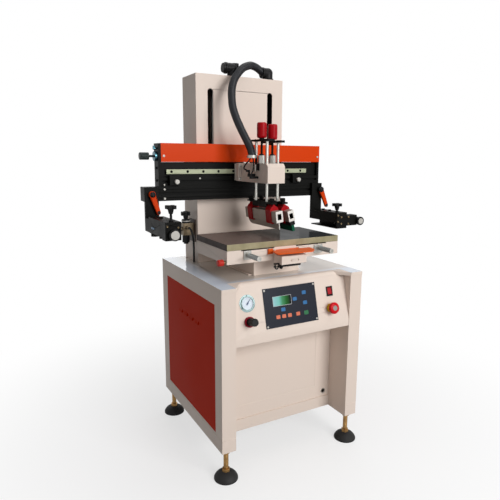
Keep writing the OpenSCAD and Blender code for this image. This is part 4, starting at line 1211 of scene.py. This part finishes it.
class PRINTER_OT_units(bpy.types.Operator):
    """Flood and squeegee units with their tools"""

    bl_idname = "printer.units"
    bl_label = "Lift units"

    def execute(self, context):
        for unit, tool in (("flood", FLOOD), ("squeegee", SQUEEGEE)):

            def rod(c, n):
                near_rod = min(abs(c.y + 0.0265), abs(c.y + 0.1015)) < 0.0049
                return near_rod and abs(c.x - tool[0]) < 0.0049 and 0.8931 < c.z < 1.0918

            worked(unit + "_frame", SIZES.fine_edge, [(rod, bright_steel()), (None, black_anodised())])
            worked(unit + "_cap", SIZES.edge, red_cap())
            worked(unit + "_clamps", SIZES.fine_edge, red_cap())
        worked("flood_holder", SMALL_EDGE, [
            (lambda c, n: abs(n.y) > 0.7, white_plate()),
            # Painted shade: the inside of the flood holder's channel is painted black
            (channel(FLOOD, 0.0079, -0.0434, -0.0226), black_plastic()),
            (None, flood_grey()),
        ])
        worked("flood_blade", THIN_EDGE, [(lambda c, n: n.y < -0.5, white_plate()), (None, flood_grey())])
        worked("squeegee_holder", SMALL_EDGE, [
            (lambda c, n: tool_place(c, *SQUEEGEE)[1] < JAW_TOP, black_plastic()),
            (lambda c, n: abs(n.y) > 0.7, white_plate()),
            # Painted shade: the inside of the squeegee holder's channel is painted black
            (channel(SQUEEGEE, 0.0076, -0.0419, -0.0231), black_plastic()),
            (None, flood_grey()),
        ], cuts=[tool_cut(*SQUEEGEE, JAW_TOP)])
        # Painted shade: the blade is painted black from the jaw's lip up, for the shade between the jaws
        worked("squeegee_blade", SMALL_EDGE, [
            (lambda c, n: tool_place(c, *SQUEEGEE)[1] > JAW_LIP, black_plastic()),
            (None, green_urethane()),
        ], cuts=[tool_cut(*SQUEEGEE, JAW_LIP)])
        return {"FINISHED"}


class PRINTER_OT_arms(bpy.types.Operator):
    """Frame arms with their levers and hand screws"""

    bl_idname = "printer.arms"
    bl_label = "Frame arms"

    def execute(self, context):
        # Metal studs whose blue tint is a painted reflection
        stud_blue_reflection = finish_material(
            "Bluish studs", (120, 140, 160), (90, 104, 122), patch=60, grain=1500,
            rough=(0.25, 0.35), relief=0.02, metallic=0.9,
        )

        def left_screw(c, n):
            heads = ((-0.355, 0.827), (-0.390, 0.832))
            return c.y < -0.1321 and any(math.hypot(c.x - x, c.z - z) < 0.003 for x, z in heads)

        def left_stud(c, n):
            return c.x < -0.3971 and abs(c.z - 0.812) < 0.0045 and -0.023 < c.y < 0.003

        worked("arm_left", PLATE_EDGE, [
            (left_screw, screw_bronze()), (left_stud, stud_blue_reflection), (None, black_anodised()),
        ])
        worked("arm_right", PLATE_EDGE, [
            (lambda c, n: c.y < -0.0981 and c.z > 0.79, screw_bronze()), (None, black_anodised()),
        ])
        for side, hub_x, hub_radius, disc_y in (
            ("left", -0.375, 0.0, -0.149),
            ("right", 0.330, 0.0112, -0.109),
        ):

            def on_hub(c, n):
                beside = c.y < 0.0508 or c.y > 0.0658
                return beside or math.hypot(c.x - hub_x, c.z - LEVER_HUB_Z) < hub_radius

            def on_disc(c, n):
                return n.y < -0.5 and c.y < disc_y

            worked("lever_" + side, SIZES.edge, [(on_hub, black_plastic()), (None, orange())])
            worked("clamp_screw_" + side, SIZES.fine_edge, black_plastic())
            worked("fine_knob_" + side, SIZES.fine_edge, [(on_disc, satin_disc()), (None, black_plastic())])
        return {"FINISHED"}


class PRINTER_OT_stage(bpy.types.Operator):
    """Floor, lamps, world and the camera of the photograph"""

    bl_idname = "printer.stage"
    bl_label = "Stage"

    def execute(self, context):
        self.camera()
        self.lamps()
        self.floor()
        self.world()
        context.scene.view_settings.view_transform = "Standard"
        return {"FINISHED"}

    def camera(self):
        """The photograph's view, solved from the cabinet's edges; the lens in pixels of its 500."""
        sensor, lens_px, photo_px = 36, 484.27, 500
        yaw, pitch, roll = (math.radians(a) for a in (28.885, 10.694, 0.288))
        ahead = math.cos(pitch)
        forward = Vector((math.sin(yaw) * ahead, math.cos(yaw) * ahead, -math.sin(pitch)))
        level = Vector((math.cos(yaw), -math.sin(yaw), 0))
        above = level.cross(forward)
        right = math.cos(roll) * level + math.sin(roll) * above
        up = -math.sin(roll) * level + math.cos(roll) * above
        turn = Matrix((right, up, -forward)).transposed()
        data = bpy.data.cameras.new("Photograph view")
        data.sensor_width = sensor
        data.lens = lens_px / photo_px * sensor
        cam = bpy.data.objects.new("Photograph view", data)
        cam.location = (-0.87745, -1.53848, 1.0384)
        cam.rotation_euler = turn.to_euler()
        bpy.context.scene.collection.objects.link(cam)
        bpy.context.scene.camera = cam

    def lamps(self):
        """Square lamps that face the middle of the printer."""
        middle = Vector((0, 0, 0.8))
        for name, place, size, power in (
            ("Key lamp", (0.95, -3.85, 2.1), 2.2, 136),
            ("Fill lamp", (-3.2, -2.2, 2.2), 3.0, 6),
            ("Top lamp", (0.6, 0.0, 4.2), 2.4, 40),
            ("Back lamp", (1.2, 3.4, 2.6), 2.6, 20),
        ):
            data = bpy.data.lights.new(name, "AREA")
            data.size = size
            data.energy = power
            lamp = bpy.data.objects.new(name, data)
            lamp.location = place
            aim = middle - Vector(place)
            lamp.rotation_euler = aim.to_track_quat("-Z", "Y").to_euler()
            bpy.context.scene.collection.objects.link(lamp)

    def floor(self):
        """White floor: it keeps the shadow near the printer and fades to plain white."""
        deselect()
        bpy.ops.mesh.primitive_plane_add(size=30, location=(0, 0, 0))
        ground = bpy.context.object
        ground.name = "studio_floor"
        m = bpy.data.materials.new("Studio floor")
        m.use_nodes = True
        t = m.node_tree
        shader = t.nodes["Principled BSDF"]
        shader.inputs["Roughness"].default_value = 0.7
        seen = seen_ray(t, "Is Camera Ray", "Is Glossy Ray")
        tone = t.nodes.new("ShaderNodeMix")
        tone.data_type = "RGBA"
        tone.inputs["A"].default_value = (0.3, 0.3, 0.3, 1)
        tone.inputs["B"].default_value = (0.86, 0.86, 0.86, 1)
        t.links.new(seen, tone.inputs["Factor"])
        t.links.new(tone.outputs["Result"], shader.inputs["Base Color"])
        place = t.nodes.new("ShaderNodeTexCoord")
        reach = t.nodes.new("ShaderNodeVectorMath")
        reach.operation = "LENGTH"
        t.links.new(place.outputs["Object"], reach.inputs[0])
        fade = ramp(t, reach.outputs["Value"], 0.3, 1.5, 0.62, 1.0)
        glow = t.nodes.new("ShaderNodeEmission")
        glow.inputs["Color"].default_value = (1, 1, 1, 1)
        self.mixed(t, math_node(t, "MULTIPLY", seen, fade), shader, glow, t.nodes["Material Output"])
        ground.data.materials.append(m)

    def world(self):
        """Weak white light, and plain white where the background itself is seen."""
        w = bpy.data.worlds.new("Studio")
        bpy.context.scene.world = w
        w.use_nodes = True
        t = w.node_tree
        light = t.nodes["Background"]
        backdrop = t.nodes.new("ShaderNodeBackground")
        for node, strength in ((light, 0.2), (backdrop, 1.0)):
            node.inputs["Color"].default_value = (1, 1, 1, 1)
            node.inputs["Strength"].default_value = strength
        seen = seen_ray(t, "Is Camera Ray", "Is Glossy Ray", "Is Transmission Ray")
        self.mixed(t, seen, light, backdrop, t.nodes["World Output"])

    def mixed(self, t, amount, one, two, output):
        """Shows shader one, and shader two by the amount."""
        mix = t.nodes.new("ShaderNodeMixShader")
        t.links.new(amount, mix.inputs["Fac"])
        t.links.new(one.outputs[0], mix.inputs[1])
        t.links.new(two.outputs[0], mix.inputs[2])
        t.links.new(mix.outputs[0], output.inputs["Surface"])


class PRINTER_PT_panel(bpy.types.Panel):
    bl_label = "Screen Printer"
    bl_idname = "PRINTER_PT_panel"
    bl_space_type = "VIEW_3D"
    bl_region_type = "UI"
    bl_category = "Screen Printer"

    def draw(self, context):
        column = self.layout.column(align=True)
        for op in STEPS:
            column.operator(op.bl_idname)
        box = self.layout.box()
        for prop in ("edge", "fine_edge", "rib_pitch", "rib_depth"):
            box.prop(context.scene.printer_sizes, prop)
        for prop in ("cream", "worktop", "orange", "orange_deep", "side_red"):
            box.prop(context.scene.printer_colours, prop)


STEPS = (
    PRINTER_OT_stage, PRINTER_OT_hoses, PRINTER_OT_cabinet, PRINTER_OT_tower, PRINTER_OT_console,
    PRINTER_OT_table, PRINTER_OT_head, PRINTER_OT_carriage, PRINTER_OT_units, PRINTER_OT_arms,
)
CLASSES = (PrinterSizes, PrinterColours) + STEPS + (PRINTER_PT_panel,)


def register():
    for cls in CLASSES:
        bpy.utils.register_class(cls)
    bpy.types.Scene.printer_sizes = bpy.props.PointerProperty(type=PrinterSizes)
    bpy.types.Scene.printer_colours = bpy.props.PointerProperty(type=PrinterColours)


def unregister():
    del bpy.types.Scene.printer_sizes
    del bpy.types.Scene.printer_colours
    for cls in reversed(CLASSES):
        bpy.utils.unregister_class(cls)


def main():
    global SIZES, COLOURS
    register()
    SIZES = bpy.context.scene.printer_sizes
    COLOURS = bpy.context.scene.printer_colours
    for step in STEPS:
        group, name = step.bl_idname.split(".")
        getattr(getattr(bpy.ops, group), name)()
    deselect()


if __name__ == "__main__":
    main()
